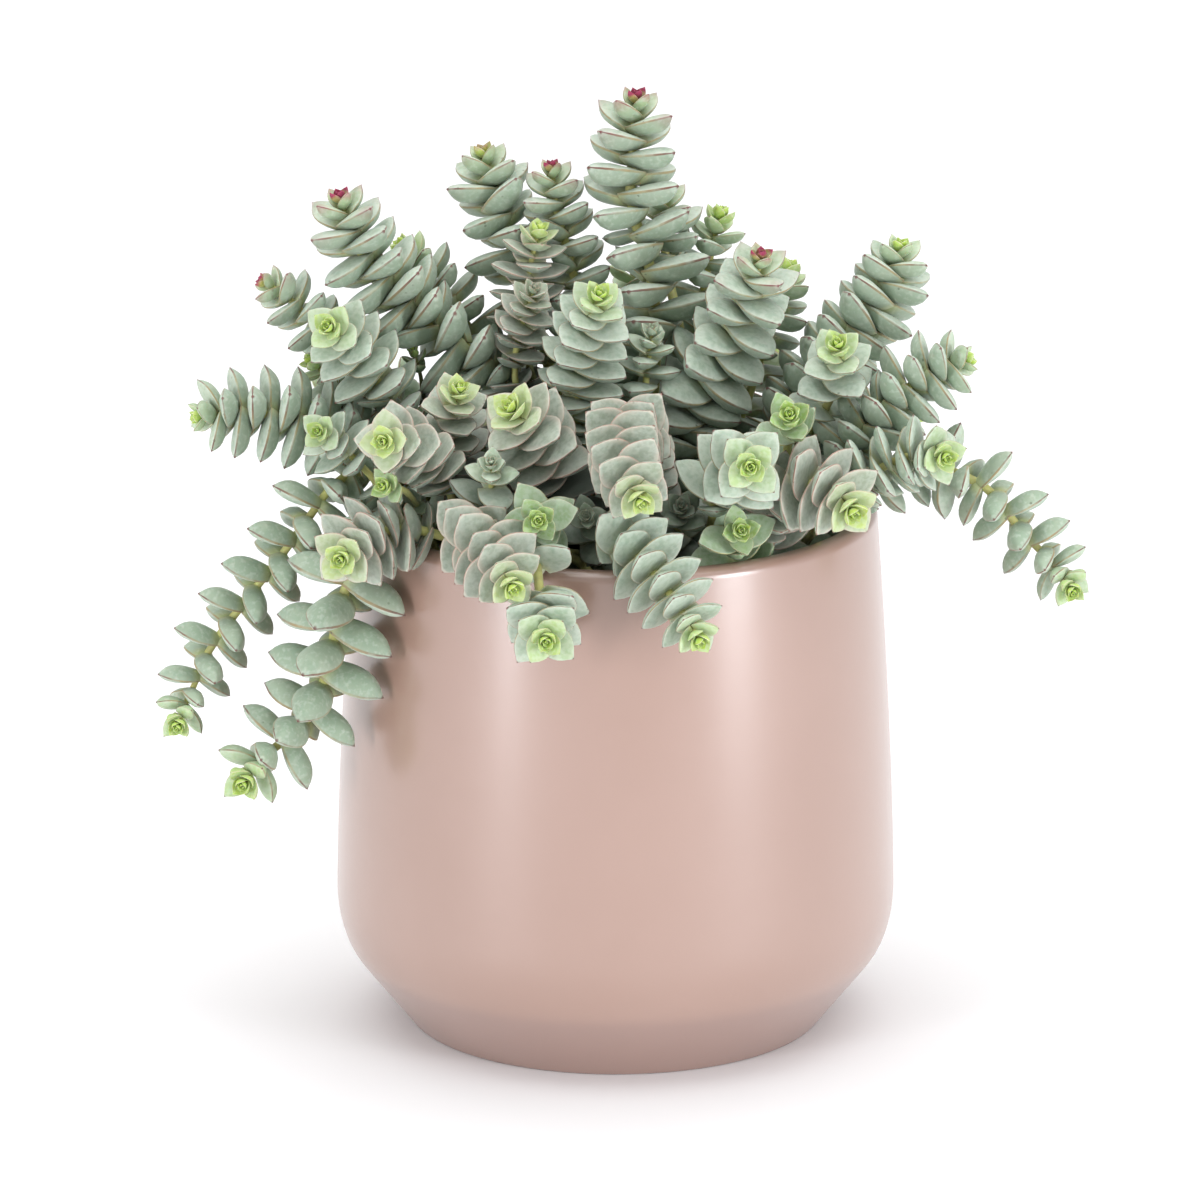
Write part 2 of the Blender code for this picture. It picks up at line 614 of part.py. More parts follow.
def tube_sides(lower, upper):
    """Returns the triangles between two rings of corners, numbered round the stem."""
    faces = []
    for number in range(STEM_SIDES):
        after = (number + 1) % STEM_SIDES
        faces.append((lower + number, lower + after, upper + after))
        faces.append((lower + number, upper + after, upper + number))
    return faces


def tube_solid(rings):
    """Returns a closed tube through its rings, from the lowest up."""
    points = [corner for ring in rings for corner in ring]
    faces = [(2, 1, 0)]
    for number in range(len(rings) - 1):
        faces += tube_sides(number * STEM_SIDES, (number + 1) * STEM_SIDES)
    last = len(points) - STEM_SIDES
    faces.append((last, last + 1, last + 2))
    return points, faces


def pair_solid(pair, leaves, rings):
    """Returns the closed solid of a pair and the stem below it, whose rings come from the top down."""
    points = []
    faces = []
    wides = []
    keels = []
    for leaf, side in zip(leaves, (1, -1)):
        first = len(points)
        points += leaf_points(pair, leaf, side)
        keel = len(points) - 1
        wide, other_wide = keel - 2, keel - 1
        rim, other_rim = [first, wide], [first, other_wide]
        if keel - first == 5:
            rim, other_rim = [first, first + 1, wide], [first, first + 2, other_wide]
            shoulder, other_shoulder = first + 1, first + 2
            faces += [(first, shoulder, other_shoulder), (shoulder, wide, other_shoulder)]
            faces.append((wide, other_wide, other_shoulder))
        else:
            faces += [(first, wide, other_wide)]
        faces += [(end, start, keel) for start, end in zip(rim, rim[1:])]
        faces += [(start, end, keel) for start, end in zip(other_rim, other_rim[1:])]
        wides += [wide, other_wide]
        keels.append(keel)
    base = len(points)
    depth = max(core_depth(leaf) for leaf in leaves)
    points += stem_ring(pair.place - pair.up * depth, pair.out, pair.across, pair.radius)
    faces += [(wides[0], wides[3], wides[2]), (wides[0], wides[2], wides[1])]
    for number, keel in enumerate(keels):
        wide, other_wide = wides[2 * number], wides[2 * number + 1]
        facing = wides[3 - 2 * number]
        near, beside, far = base + number, base + number + 1, base + (2, 1)[number]
        faces += [(near, wide, keel), (other_wide, far, keel)]
        if near != far:
            faces.append((near, keel, far))
        faces += [(wide, near, facing), (near, beside, facing)]
    upper = base
    for ring in rings:
        lower = len(points)
        points += ring
        faces += tube_sides(lower, upper)
        upper = lower
    faces.append((upper + 2, upper + 1, upper))
    return points, faces


def rings_down(route, pair, depth, below):
    """Returns the rings from a pair down into the pair below it, or to the bottom of its hole."""
    if below is not None:
        lower, lower_leaves = below
        sunk = lower.place + lower.up * (platform_height(lower, lower_leaves) - SINK)
        if (pair.place - sunk).dot(pair.up) < depth + SINK:
            return []
        return stem_rings(pair, [(sunk, lower.up)], min(pair.radius * LOWER_STEM_SWELL, lower.radius))
    length = route.length()
    in_hole = HOLE_DEPTH - CLEARANCE
    end = length - in_hole - HOLE_ENTRY
    bare = end - pair.along
    count = max(1, round(bare / BARE_STEP))
    stops = []
    for number in range(1, count):
        stop = pair.along + bare * number / count
        stops.append((route.place(stop), route.toward_tip(stop)))
    entry = route.place(end)
    upright = Vector((0, 0, 1))
    stops += [(entry, upright), (Vector((entry.x, entry.y, SOIL_TOP - in_hole)), upright)]
    return stem_rings(pair, stops, pair.radius)


class Room:
    """Everything that stands already, with its owner, so that a leaf can be tested against it."""

    def __init__(self):
        self.points = []
        self.faces = []
        self.owners = []
        self.tree = None

    def add(self, points, faces, owner):
        """Adds a solid that belongs to an owner."""
        start = len(self.points)
        self.points += points
        self.faces += [tuple(start + corner for corner in face) for face in faces]
        self.owners += [owner] * len(faces)
        self.tree = None

    def clear(self, points, faces, owner):
        """Tells whether a solid touches nothing that belongs to others, and stays out of the soil."""
        for point in points:
            if point.z < SOIL_TOP + CLEARANCE and math.hypot(point.x, point.y) < POT_RIM_RADIUS:
                return False
        if self.tree is None:
            self.tree = BVHTree.FromPolygons(self.points, self.faces)
        probe = BVHTree.FromPolygons(points, faces)
        return all(self.owners[found] == owner for _, found in probe.overlap(self.tree))


def fitted_leaves(pair, room, owner):
    """Finds the turn, lift and size that keep both leaves clear; None where neither leaf fits."""
    best = None
    for cost, turn in enumerate(PAIR_TURNS):
        turned = pair.turned(turn)
        leaves = []
        stunted = 0
        for side in (1, -1):
            for number, (lift, size) in enumerate((*LEAF_FITS, STUNTED_LEAF)):
                leaf = pair.leaf.changed(lift, size)
                if room.clear(*closed_leaf(turned, leaf, side, PROBE_SWELL), owner):
                    leaves.append(leaf)
                    cost += number
                    stunted += number == len(LEAF_FITS)
                    break
        if len(leaves) == 2 and stunted < 2 and (best is None or cost < best[0]):
            best = (cost, turned, leaves)
    return best[1:] if best else None


def place_leaves(room):
    """Plans every stem and lets its pairs claim their room, those nearest the tips first."""
    lines = {name: Route(places) for name, places in spread_apart(rooted_routes()).items()}
    chance = random.Random(RANDOM_SEED)
    plans = {stem.name: planned_pairs(stem, lines[stem.name], chance) for stem in STEMS}
    for stem in STEMS:
        line = lines[stem.name]
        radius = STEM_RADIUS_PER_LEAF * stem.leaf * LOWER_STEM_SWELL
        count = round(line.length() / GUARD_STEP)
        stops = [line.length() * number / count for number in range(count + 1)]
        stops = [(line.place(stop), line.toward_tip(stop)) for stop in stops]
        room.add(*tube_solid(stem_rings(plans[stem.name][0], stops, radius)[::-1]), stem.name)
    fitted = {stem.name: [] for stem in STEMS}
    for number in range(max(stem.pairs for stem in STEMS)):
        for stem in STEMS:
            if number >= len(plans[stem.name]):
                continue
            found = fitted_leaves(plans[stem.name][number], room, stem.name)
            if found is not None:
                pair, leaves = found
                fitted[stem.name].append(found)
                room.add(*closed_leaf(pair, leaves[0], 1), stem.name)
                room.add(*closed_leaf(pair, leaves[1], -1), stem.name)
    return fitted, lines


def stem_solids(fitted, line):
    """Returns the closed solids of a stem's pairs and the ring at the bottom of its hole."""
    solids = []
    for number, (pair, leaves) in enumerate(fitted):
        below = fitted[number + 1] if number + 1 < len(fitted) else None
        depth = max(core_depth(leaf) for leaf in leaves)
        rings = rings_down(line, pair, depth, below)
        solids.append(pair_solid(pair, leaves, rings))
    return solids, rings[-1]


def fuse(name, solids, collection):
    """Joins closed solids into one body by a single union, and merges its coplanar faces."""
    pieces = bpy.data.collections.new(name + " pieces")
    bpy.context.scene.collection.children.link(pieces)
    body = mesh_object(name, *solids[0], collection)
    for number, solid in enumerate(solids[1:]):
        mesh_object(f"{name}_piece_{number}", *solid, pieces)
    union = body.modifiers.new("union", 'BOOLEAN')
    union.operand_type = 'COLLECTION'
    union.collection = pieces
    union.operation = 'UNION'
    union.solver = 'MANIFOLD'
    graph = bpy.context.evaluated_depsgraph_get()
    joined = bpy.data.meshes.new_from_object(body.evaluated_get(graph))
    body.modifiers.remove(union)
    body.data = joined
    for piece in list(pieces.objects):
        bpy.data.objects.remove(piece, do_unlink=True)
    bpy.data.collections.remove(pieces)
    shape = bmesh.new()
    shape.from_mesh(joined)
    bmesh.ops.dissolve_limit(shape, angle_limit=FLAT_ANGLE, verts=shape.verts, edges=shape.edges)
    bmesh.ops.triangulate(shape, faces=shape.faces)
    shape.to_mesh(joined)
    shape.free()
    return body


def build_soil(bottoms, collection, cutters):
    """Builds the soil as one turned solid with flat ends, with a blind hole for each stem."""
    soil = turned_object("soil", inner_profile(SOIL_TOP, CLEARANCE)[::-1], collection)
    graph = bpy.context.evaluated_depsgraph_get()
    turned = bpy.data.meshes.new_from_object(soil.evaluated_get(graph))
    soil.modifiers.clear()
    shape = bmesh.new()
    shape.from_mesh(turned)
    bmesh.ops.holes_fill(shape, edges=shape.edges)
    bmesh.ops.recalc_face_normals(shape, faces=shape.faces)
    shape.to_mesh(turned)
    shape.free()
    soil.data = turned
    for name, ring in bottoms.items():
        middle = sum(ring, Vector()) / STEM_SIDES
        radius = ((ring[0] - middle).length + HOLE_ROOM) / math.cos(math.pi / HOLE_SIDES)
        height = HOLE_DEPTH + HOLE_OVERCUT
        shape = bmesh.new()
        bmesh.ops.create_cone(shape, cap_ends=True, segments=HOLE_SIDES, radius1=radius * MM,
                              radius2=radius * MM, depth=height * MM)
        mesh = bpy.data.meshes.new("hole_" + name)
        shape.to_mesh(mesh)
        shape.free()
        cutter = bpy.data.objects.new("hole_" + name, mesh)
        cutters.objects.link(cutter)
        cutter.location = (middle.x * MM, middle.y * MM, (SOIL_TOP - HOLE_DEPTH + height / 2) * MM)
        cutter.hide_render = True
        cutter.display_type = 'WIRE'
    cut = soil.modifiers.new("holes", 'BOOLEAN')
    cut.operand_type = 'COLLECTION'
    cut.collection = cutters
    cut.operation = 'DIFFERENCE'
    soil.data.materials.append(principled("dark potting soil", SOIL_COLOUR, 0.95))
    return soil


def main():
    """Builds the pot, the soil and every leafy stem."""
    clear_scene()
    collection = bpy.data.collections.new("potted crassula")
    cutters = bpy.data.collections.new("cutters")
    bpy.context.scene.collection.children.link(collection)
    bpy.context.scene.collection.children.link(cutters)
    pot = build_pot(collection)
    bpy.context.view_layer.update()
    shell = pot.evaluated_get(bpy.context.evaluated_depsgraph_get()).data
    room = Room()
    corners = [vertex.co / MM for vertex in shell.vertices]
    room.add(corners, [tuple(face.vertices) for face in shell.polygons], "pot")
    fitted, lines = place_leaves(room)
    bottoms = {}
    for stem in STEMS:
        solids, bottoms[stem.name] = stem_solids(fitted[stem.name], lines[stem.name])
        body = fuse("stem_" + stem.name, solids, collection)
        body.data.materials.clear()
        body.data.materials.append(principled("leaf " + stem.name, stem.habit.colour, 0.6))
    build_soil(bottoms, collection, cutters)


if __name__ == "__main__":
    main()
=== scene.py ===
"""Looks of the potted crassula: fine leaves on every stem, a glazed pot, soil and a pale studio.

The planting repeats the solids' own plan, in millimetres, so that each fine leaf lies where its
solid leaf lies. Meshes are in metres, and every finished piece sits at the origin.
"""

import logging
import math
import random
from dataclasses import dataclass, field
from enum import Enum
from typing import Iterable, Optional, Union

import bmesh
import bpy
from mathutils import Matrix, Quaternion, Vector, noise
from mathutils.bvhtree import BVHTree
from mathutils.kdtree import KDTree

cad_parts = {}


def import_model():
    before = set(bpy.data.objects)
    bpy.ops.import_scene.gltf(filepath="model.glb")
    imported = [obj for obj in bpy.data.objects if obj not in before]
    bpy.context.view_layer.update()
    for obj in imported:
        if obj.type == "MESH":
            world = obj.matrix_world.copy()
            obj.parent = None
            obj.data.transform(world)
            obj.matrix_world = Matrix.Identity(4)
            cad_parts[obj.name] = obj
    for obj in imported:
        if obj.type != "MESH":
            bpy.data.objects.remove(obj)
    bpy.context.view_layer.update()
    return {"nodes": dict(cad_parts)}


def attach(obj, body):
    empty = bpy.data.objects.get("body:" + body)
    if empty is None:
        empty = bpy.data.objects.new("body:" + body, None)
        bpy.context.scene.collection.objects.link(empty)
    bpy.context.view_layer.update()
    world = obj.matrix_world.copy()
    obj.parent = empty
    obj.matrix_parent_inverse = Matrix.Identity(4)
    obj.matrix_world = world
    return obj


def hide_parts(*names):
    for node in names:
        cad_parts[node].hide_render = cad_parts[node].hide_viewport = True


LOG = logging.getLogger("potted crassula")

MM = 0.001
MERGE_DISTANCE = 0.000001
Colour = tuple[float, float, float]
Point = tuple[float, float, float]
Solid = tuple[list[Vector], list[tuple[int, ...]]]
Value = Union["Socket", float]


def linear(red: int, green: int, blue: int) -> Colour:
    """Turns a screen colour into the linear one that shaders use.

    Args:
        red: Red from 0 to 255.
        green: Green from 0 to 255.
        blue: Blue from 0 to 255.

    Returns:
        The linear colour, each part from 0 to 1.
    """
    parts = [value / 255 for value in (red, green, blue)]
    return tuple(part / 12.92 if part <= 0.04045 else ((part + 0.055) / 1.055) ** 2.4
                 for part in parts)


class Socket:
    """A node's output, on which Python's operators add Math nodes."""

    def __init__(self, graph: "Graph", link: bpy.types.NodeSocket) -> None:
        """Keeps the socket and the graph that it belongs to."""
        self.graph = graph
        self.link = link

    def __add__(self, other: Value) -> "Socket":
        """Returns the sum."""
        return self.graph.maths("ADD", self, other)

    def __sub__(self, other: Value) -> "Socket":
        """Returns the difference."""
        return self.graph.maths("SUBTRACT", self, other)

    def __rsub__(self, other: Value) -> "Socket":
        """Returns the difference from a number."""
        return self.graph.maths("SUBTRACT", other, self)

    def __mul__(self, other: Value) -> "Socket":
        """Returns the product."""
        return self.graph.maths("MULTIPLY", self, other)

    __radd__ = __add__
    __rmul__ = __mul__


class Graph:
    """A material's node tree round its Principled shader."""

    def __init__(self, name: str) -> None:
        """Makes the material and finds its shader.

        Args:
            name: The material's name.
        """
        self.material = bpy.data.materials.new(name)
        self.material.use_nodes = True
        self.tree = self.material.node_tree
        self.shader = self.tree.nodes["Principled BSDF"]

    def plug(self, target: bpy.types.NodeSocket, value: object) -> None:
        """Sets a node's input.

        Args:
            target: The input.
            value: A number or colour that it is set to, or a socket that is linked to it.
        """
        if isinstance(value, Socket):
            self.tree.links.new(value.link, target)
        else:
            target.default_value = value

    def node(self, kind: str, inputs: dict, settings: Optional[dict] = None,
             output: Union[str, int] = 0) -> Socket:
        """Adds a node.

        Args:
            kind: The node's type.
            inputs: Numbers, colours or sockets by the input's name or number.
            settings: Properties that are set first; "stops" are a ramp's places and colours.
            output: The name or number of the output that is wanted.

        Returns:
            The wanted output.
        """
        made = self.tree.nodes.new(kind)
        for name, value in (settings or {}).items():
            if name == "stops":
                elements = made.color_ramp.elements
                while len(elements) < len(value):
                    elements.new(1.0)
                for element, (place, colour) in zip(elements, value):
                    element.position = place
                    element.color = (*colour, 1.0)
            else:
                setattr(made, name, value)
        for name, value in inputs.items():
            self.plug(made.inputs[name], value)
        return Socket(self, made.outputs[output])

    def maths(self, operation: str, *values: Value) -> Socket:
        """Adds a Math node on its values."""
        return self.node("ShaderNodeMath", dict(enumerate(values)), {"operation": operation})

    def fade(self, value: Value, low: float, high: float) -> Socket:
        """Returns a smooth step of the value from 0 at low to 1 at high."""
        inputs = {"Value": value, "From Min": low, "From Max": high}
        return self.node("ShaderNodeMapRange", inputs, {"interpolation_type": "SMOOTHSTEP"})

    def blend(self, factor: Value, one: object, other: object) -> Socket:
        """Mixes two colours.

        Args:
            factor: The share of the second colour.
            one: The first colour, plain or a socket.
            other: The second colour, plain or a socket.

        Returns:
            The mixed colour.
        """
        one, other = [(*item, 1.0) if isinstance(item, tuple) else item for item in (one, other)]
        settings = {"data_type": "RGBA", "clamp_factor": True}
        return self.node("ShaderNodeMix", {0: factor, 6: one, 7: other}, settings, 2)

    def ramp(self, value: Value, stops: Iterable[tuple[float, Colour]]) -> Socket:
        """Returns a colour from a ramp."""
        return self.node("ShaderNodeValToRGB", {"Fac": value}, {"stops": list(stops)})

    def places(self) -> Socket:
        """Returns the place on the piece, in metres."""
        return self.node("ShaderNodeTexCoord", {}, output="Object")

    def speckle(self, scale: float, detail: float = 2.0) -> Socket:
        """Returns noise at a number of waves a metre."""
        inputs = {"Vector": self.places(), "Scale": scale, "Detail": detail}
        return self.node("ShaderNodeTexNoise", inputs)

    def own(self, name: str) -> Socket:
        """Returns one of the mesh's own values."""
        return self.node("ShaderNodeAttribute", {}, {"attribute_name": name}, "Fac")

    def bump(self, height: Value, strength: float, depth: float) -> None:
        """Raises the surface by a height, whose full scale is a depth in metres."""
        inputs = {"Height": height, "Strength": strength, "Distance": depth}
        self.plug(self.shader.inputs["Normal"], self.node("ShaderNodeBump", inputs))

    def finish(self, **values: object) -> bpy.types.Material:
        """Sets the shader's inputs.

        Args:
            values: The inputs by their names, with underscores for spaces.

        Returns:
            The finished material.
        """
        for name, value in values.items():
            self.plug(self.shader.inputs[name.replace("_", " ")], value)
        return self.material


# The values that every corner of a shoot carries for its material; deep is its painted shade
LEAF_VALUES = ("age", "tone", "reach", "margin", "under", "stalk", "blush", "deep")


@dataclass(frozen=True)
class LeafFinish:
    """The colours of one kind of leaf, from its heart to its grown leaves."""

    name: str
    heart: Colour
    young: Colour
    grown: Colour
    pale: Colour
    under: Colour
    margin: Colour
    apex: Colour
    band: Colour = linear(202, 210, 196)
    band_share: float = 0.42
    blush: Colour = linear(146, 40, 78)
    stalk: Colour = linear(190, 190, 116)
    bark: Colour = linear(168, 166, 104)
    spot: Colour = linear(84, 92, 70)
    powder: Colour = linear(214, 221, 210)
    young_edge: Colour = linear(206, 208, 170)
    painted_shade: Colour = linear(30, 43, 31)

    def material(self) -> bpy.types.Material:
        """Builds the leaf's material from the values that its meshes carry.

        Returns:
            The material.
        """
        graph = Graph(self.name)
        age, tone, reach, margin, under, stalk, blush, deep = map(graph.own, LEAF_VALUES)
        mottle = graph.speckle(260.0, 3.0)
        powder = graph.speckle(820.0, 2.0)
        # The leaf's faces, from lime in the heart to powdery grey green
        stops = ((0.0, self.heart), (0.26, self.heart), (0.6, self.young), (0.82, self.young))
        leaf = graph.ramp(age, stops)
        grown = graph.blend(graph.fade(mottle + tone * 0.16, 0.38, 0.66), self.grown, self.pale)
        leaf = graph.blend(graph.fade(age, 0.5, 0.95), leaf, grown)
        # The underside is greener by its own colour, and darker as painted shade
        shaded = under * graph.fade(age, 0.3, 0.8)
        leaf = graph.blend(shaded * (0.6 - reach * 0.2), leaf, self.under)
        dusted = graph.fade(powder + (1.0 - under) * 0.12, 0.46, 0.74) * 0.26
        leaf = graph.blend(dusted, leaf, self.powder)
        rooted = (1.0 - graph.fade(reach, 0.0, 0.26)) * 0.5
        leaf = graph.blend(rooted, leaf, self.stalk)
        # The waxy band beside the margin, the broken line on it and the dark point
        tipped = graph.fade(reach, 0.5, 1.0) * graph.fade(age, 0.4, 0.8)
        edge = graph.blend(tipped, self.margin, self.apex)
        edge = graph.blend(graph.fade(age, 0.3, 0.75), self.young_edge, edge)
        broken = graph.fade(mottle + tone * 0.1, 0.3, 0.62) * 0.55 + 0.4
        near = graph.fade(margin, 0.02, 0.4)
        wax = graph.fade(age, 0.35, 0.85) * (1.0 - under * 0.8) * (near * 0.88 + 0.12)
        leaf = graph.blend(wax * self.band_share, leaf, self.band)
        leaf = graph.blend(graph.fade(margin, 0.7, 0.97) * broken, leaf, edge)
        pointed = graph.fade(reach, 0.995, 1.03) * graph.fade(age, 0.3, 0.6) * 0.85
        leaf = graph.blend(pointed, leaf, self.apex)
        # Small spots, most of them near the margin
        cells = graph.node("ShaderNodeTexVoronoi", {"Vector": graph.places(), "Scale": 430.0})
        spots = (1.0 - graph.fade(cells, 0.1, 0.2)) * graph.fade(mottle, 0.46, 0.6)
        spots = spots * (near * 0.6 + 0.12) * graph.fade(age, 0.5, 0.9)
        leaf = graph.blend(spots, leaf, self.spot)
        # The red of the coloured buds, the stalk, and painted shade deep under other stems
        heart = (1.0 - graph.fade(age, 0.2, 0.46)) * 0.95
        tipped = graph.fade(reach, 0.62, 1.0) * 0.85 + margin * 0.12 + heart
        leaf = graph.blend(blush * tipped, leaf, self.blush)
        bark = graph.blend(graph.fade(mottle, 0.4, 0.62), self.stalk, self.bark)
        leaf = graph.blend(stalk, leaf, bark)
        leaf = graph.blend(deep * deep * (deep * 0.6 + 0.34), leaf, self.painted_shade)
        graph.bump(powder * 0.6 + mottle * 0.8, 0.22, 0.0004)
        return graph.finish(Base_Color=leaf, Roughness=powder * 0.22 + 0.42, Sheen_Weight=0.12,
                            Sheen_Roughness=0.6, Subsurface_Weight=0.08, Subsurface_Scale=0.003,
                            Specular_IOR_Level=0.42)


@dataclass(frozen=True)
class GlazeFinish:
    """A satin, dusty rose glaze that thins a little on the edges, with painted shade on its
    chamfer.
    """

    body: Colour = linear(160, 128, 114)
    thin: Colour = linear(168, 137, 124)
    deep: Colour = linear(140, 112, 105)
    foot: Colour = linear(142, 114, 106)
    lip_worn_from: float = 0.0018
    lip_worn_to: float = 0.0004
    crease_below: float = 0.003
    crease_above: float = 0.002

    def material(self, height: float, chamfer: float) -> bpy.types.Material:
        """Builds the glaze.

        Args:
            height: The pot's height in metres.
            chamfer: The height in metres of the crease, below which the colour is darkened as
                painted shade.

        Returns:
            The material.
        """
        graph = Graph("dusty rose satin glaze")
        cloud = graph.speckle(22.0, 3.0)
        grain = graph.speckle(900.0, 2.0)
        high = graph.node("ShaderNodeSeparateXYZ", {0: graph.places()}, output="Z")
        colour = graph.blend(graph.fade(cloud, 0.35, 0.65) * 0.35, self.body, self.thin)
        lip = graph.fade(high, height - self.lip_worn_from, height - self.lip_worn_to)
        colour = graph.blend(lip * 0.35, colour, self.thin)
        # Painted shade: the chamfer, which faces down towards the floor, is darkened below the
        # crease
        foot = graph.blend(graph.fade(high, 0.0, chamfer), self.foot, self.deep)
        above = graph.fade(high, chamfer - self.crease_below, chamfer + self.crease_above)
        colour = graph.blend((1.0 - above) * 0.4, colour, foot)
        specks = graph.fade(graph.speckle(2600.0, 1.0), 0.7, 0.78)
        colour = graph.blend(specks * 0.16, colour, self.deep)
        graph.bump(grain * 0.5 + cloud, 0.05, 0.0006)
        return graph.finish(Base_Color=colour, Roughness=grain * 0.05 + 0.4, Coat_Weight=1.0,
                            Coat_Roughness=0.25, Coat_IOR=1.8)


@dataclass(frozen=True)
class SoilFinish:
    """Dark, damp potting soil, with lighter dry crumbs."""

    damp: Colour = linear(27, 21, 18)
    dry: Colour = linear(60, 48, 38)

    def material(self) -> bpy.types.Material:
        """Builds the soil's material.

        Returns:
            The material.
        """
        graph = Graph("dark potting soil")
        clods = graph.speckle(240.0, 5.0)
        grains = graph.speckle(1500.0, 3.0)
        drier = graph.fade(clods * 0.6 + grains * 0.4, 0.48, 0.68)
        colour = graph.blend(drier, self.damp, self.dry)
        graph.bump(clods + grains * 0.4, 0.9, 0.001)
        return graph.finish(Base_Color=colour, Roughness=0.95 - grains * 0.15)


@dataclass(frozen=True)
class PlainFinish:
    """A matt studio surface with the faintest unevenness."""

    name: str
    colour: Colour
    duller: Colour = (0.8, 0.8, 0.8)

    def material(self) -> bpy.types.Material:
        """Builds the plain material.

        Returns:
            The material.
        """
        graph = Graph(self.name)
        uneven = graph.speckle(6.0)
        colour = graph.blend(uneven * 0.02, self.colour, self.duller)
        return graph.finish(Base_Color=colour, Roughness=0.9, Specular_IOR_Level=0.1)


class Finishes(Enum):
    """The leaf finishes, by the record's material slots."""

    GREY_GREEN = "grey_green_leaf"
    CREAM_GREY = "cream_grey_leaf"
    BLUE_GREEN = "blue_green_leaf"
    LIME = "lime_leaf"


LEAF_FINISHES = {
    Finishes.GREY_GREEN: LeafFinish(
        "powdery grey green leaf", heart=linear(174, 202, 86), young=linear(172, 195, 136),
        grown=linear(149, 168, 147), pale=linear(168, 183, 164), under=linear(134, 152, 127),
        margin=linear(150, 138, 98), apex=linear(104, 60, 54)),
    Finishes.CREAM_GREY: LeafFinish(
        "cream edged grey leaf", heart=linear(178, 202, 90), young=linear(180, 198, 138),
        grown=linear(141, 155, 137), pale=linear(158, 169, 153), under=linear(132, 147, 126),
        margin=linear(180, 150, 134), apex=linear(132, 92, 80), band=linear(208, 200, 186),
        band_share=0.66),
    Finishes.BLUE_GREEN: LeafFinish(
        "powdery blue green leaf", heart=linear(174, 202, 88), young=linear(168, 193, 134),
        grown=linear(147, 167, 145), pale=linear(166, 182, 160), under=linear(132, 151, 126),
        margin=linear(152, 136, 98), apex=linear(104, 66, 58)),
    Finishes.LIME: LeafFinish(
        "fresh lime leaf", heart=linear(164, 194, 74), young=linear(150, 182, 102),
        grown=linear(144, 172, 128), pale=linear(160, 183, 145), under=linear(114, 143, 99),
        margin=linear(172, 170, 112), apex=linear(128, 98, 74)),
}


@dataclass(frozen=True)
class Habit:
    """How one kind of shoot carries its leaves, in shares of the leaf's length and degrees."""

    half_width: float
    thickness: float
    lift: float
    finish: Finishes


OPEN = Habit(0.49, 0.32, 5.0, Finishes.GREY_GREEN)
BROAD = Habit(0.56, 0.24, 7.0, Finishes.GREY_GREEN)
DENSE = Habit(0.57, 0.22, 7.0, Finishes.CREAM_GREY)
TRAILING = Habit(0.42, 0.34, 9.0, Finishes.BLUE_GREEN)
YOUNG = Habit(0.47, 0.26, 14.0, Finishes.LIME)


@dataclass(frozen=True)
class Stem:
    """One leafy stem: its leaves and its route in millimetres from the tip back to the soil."""

    name: str
    habit: Habit
    leaf: float
    gap: float
    pairs: int
    rosette: bool
    turn: float
    route: tuple


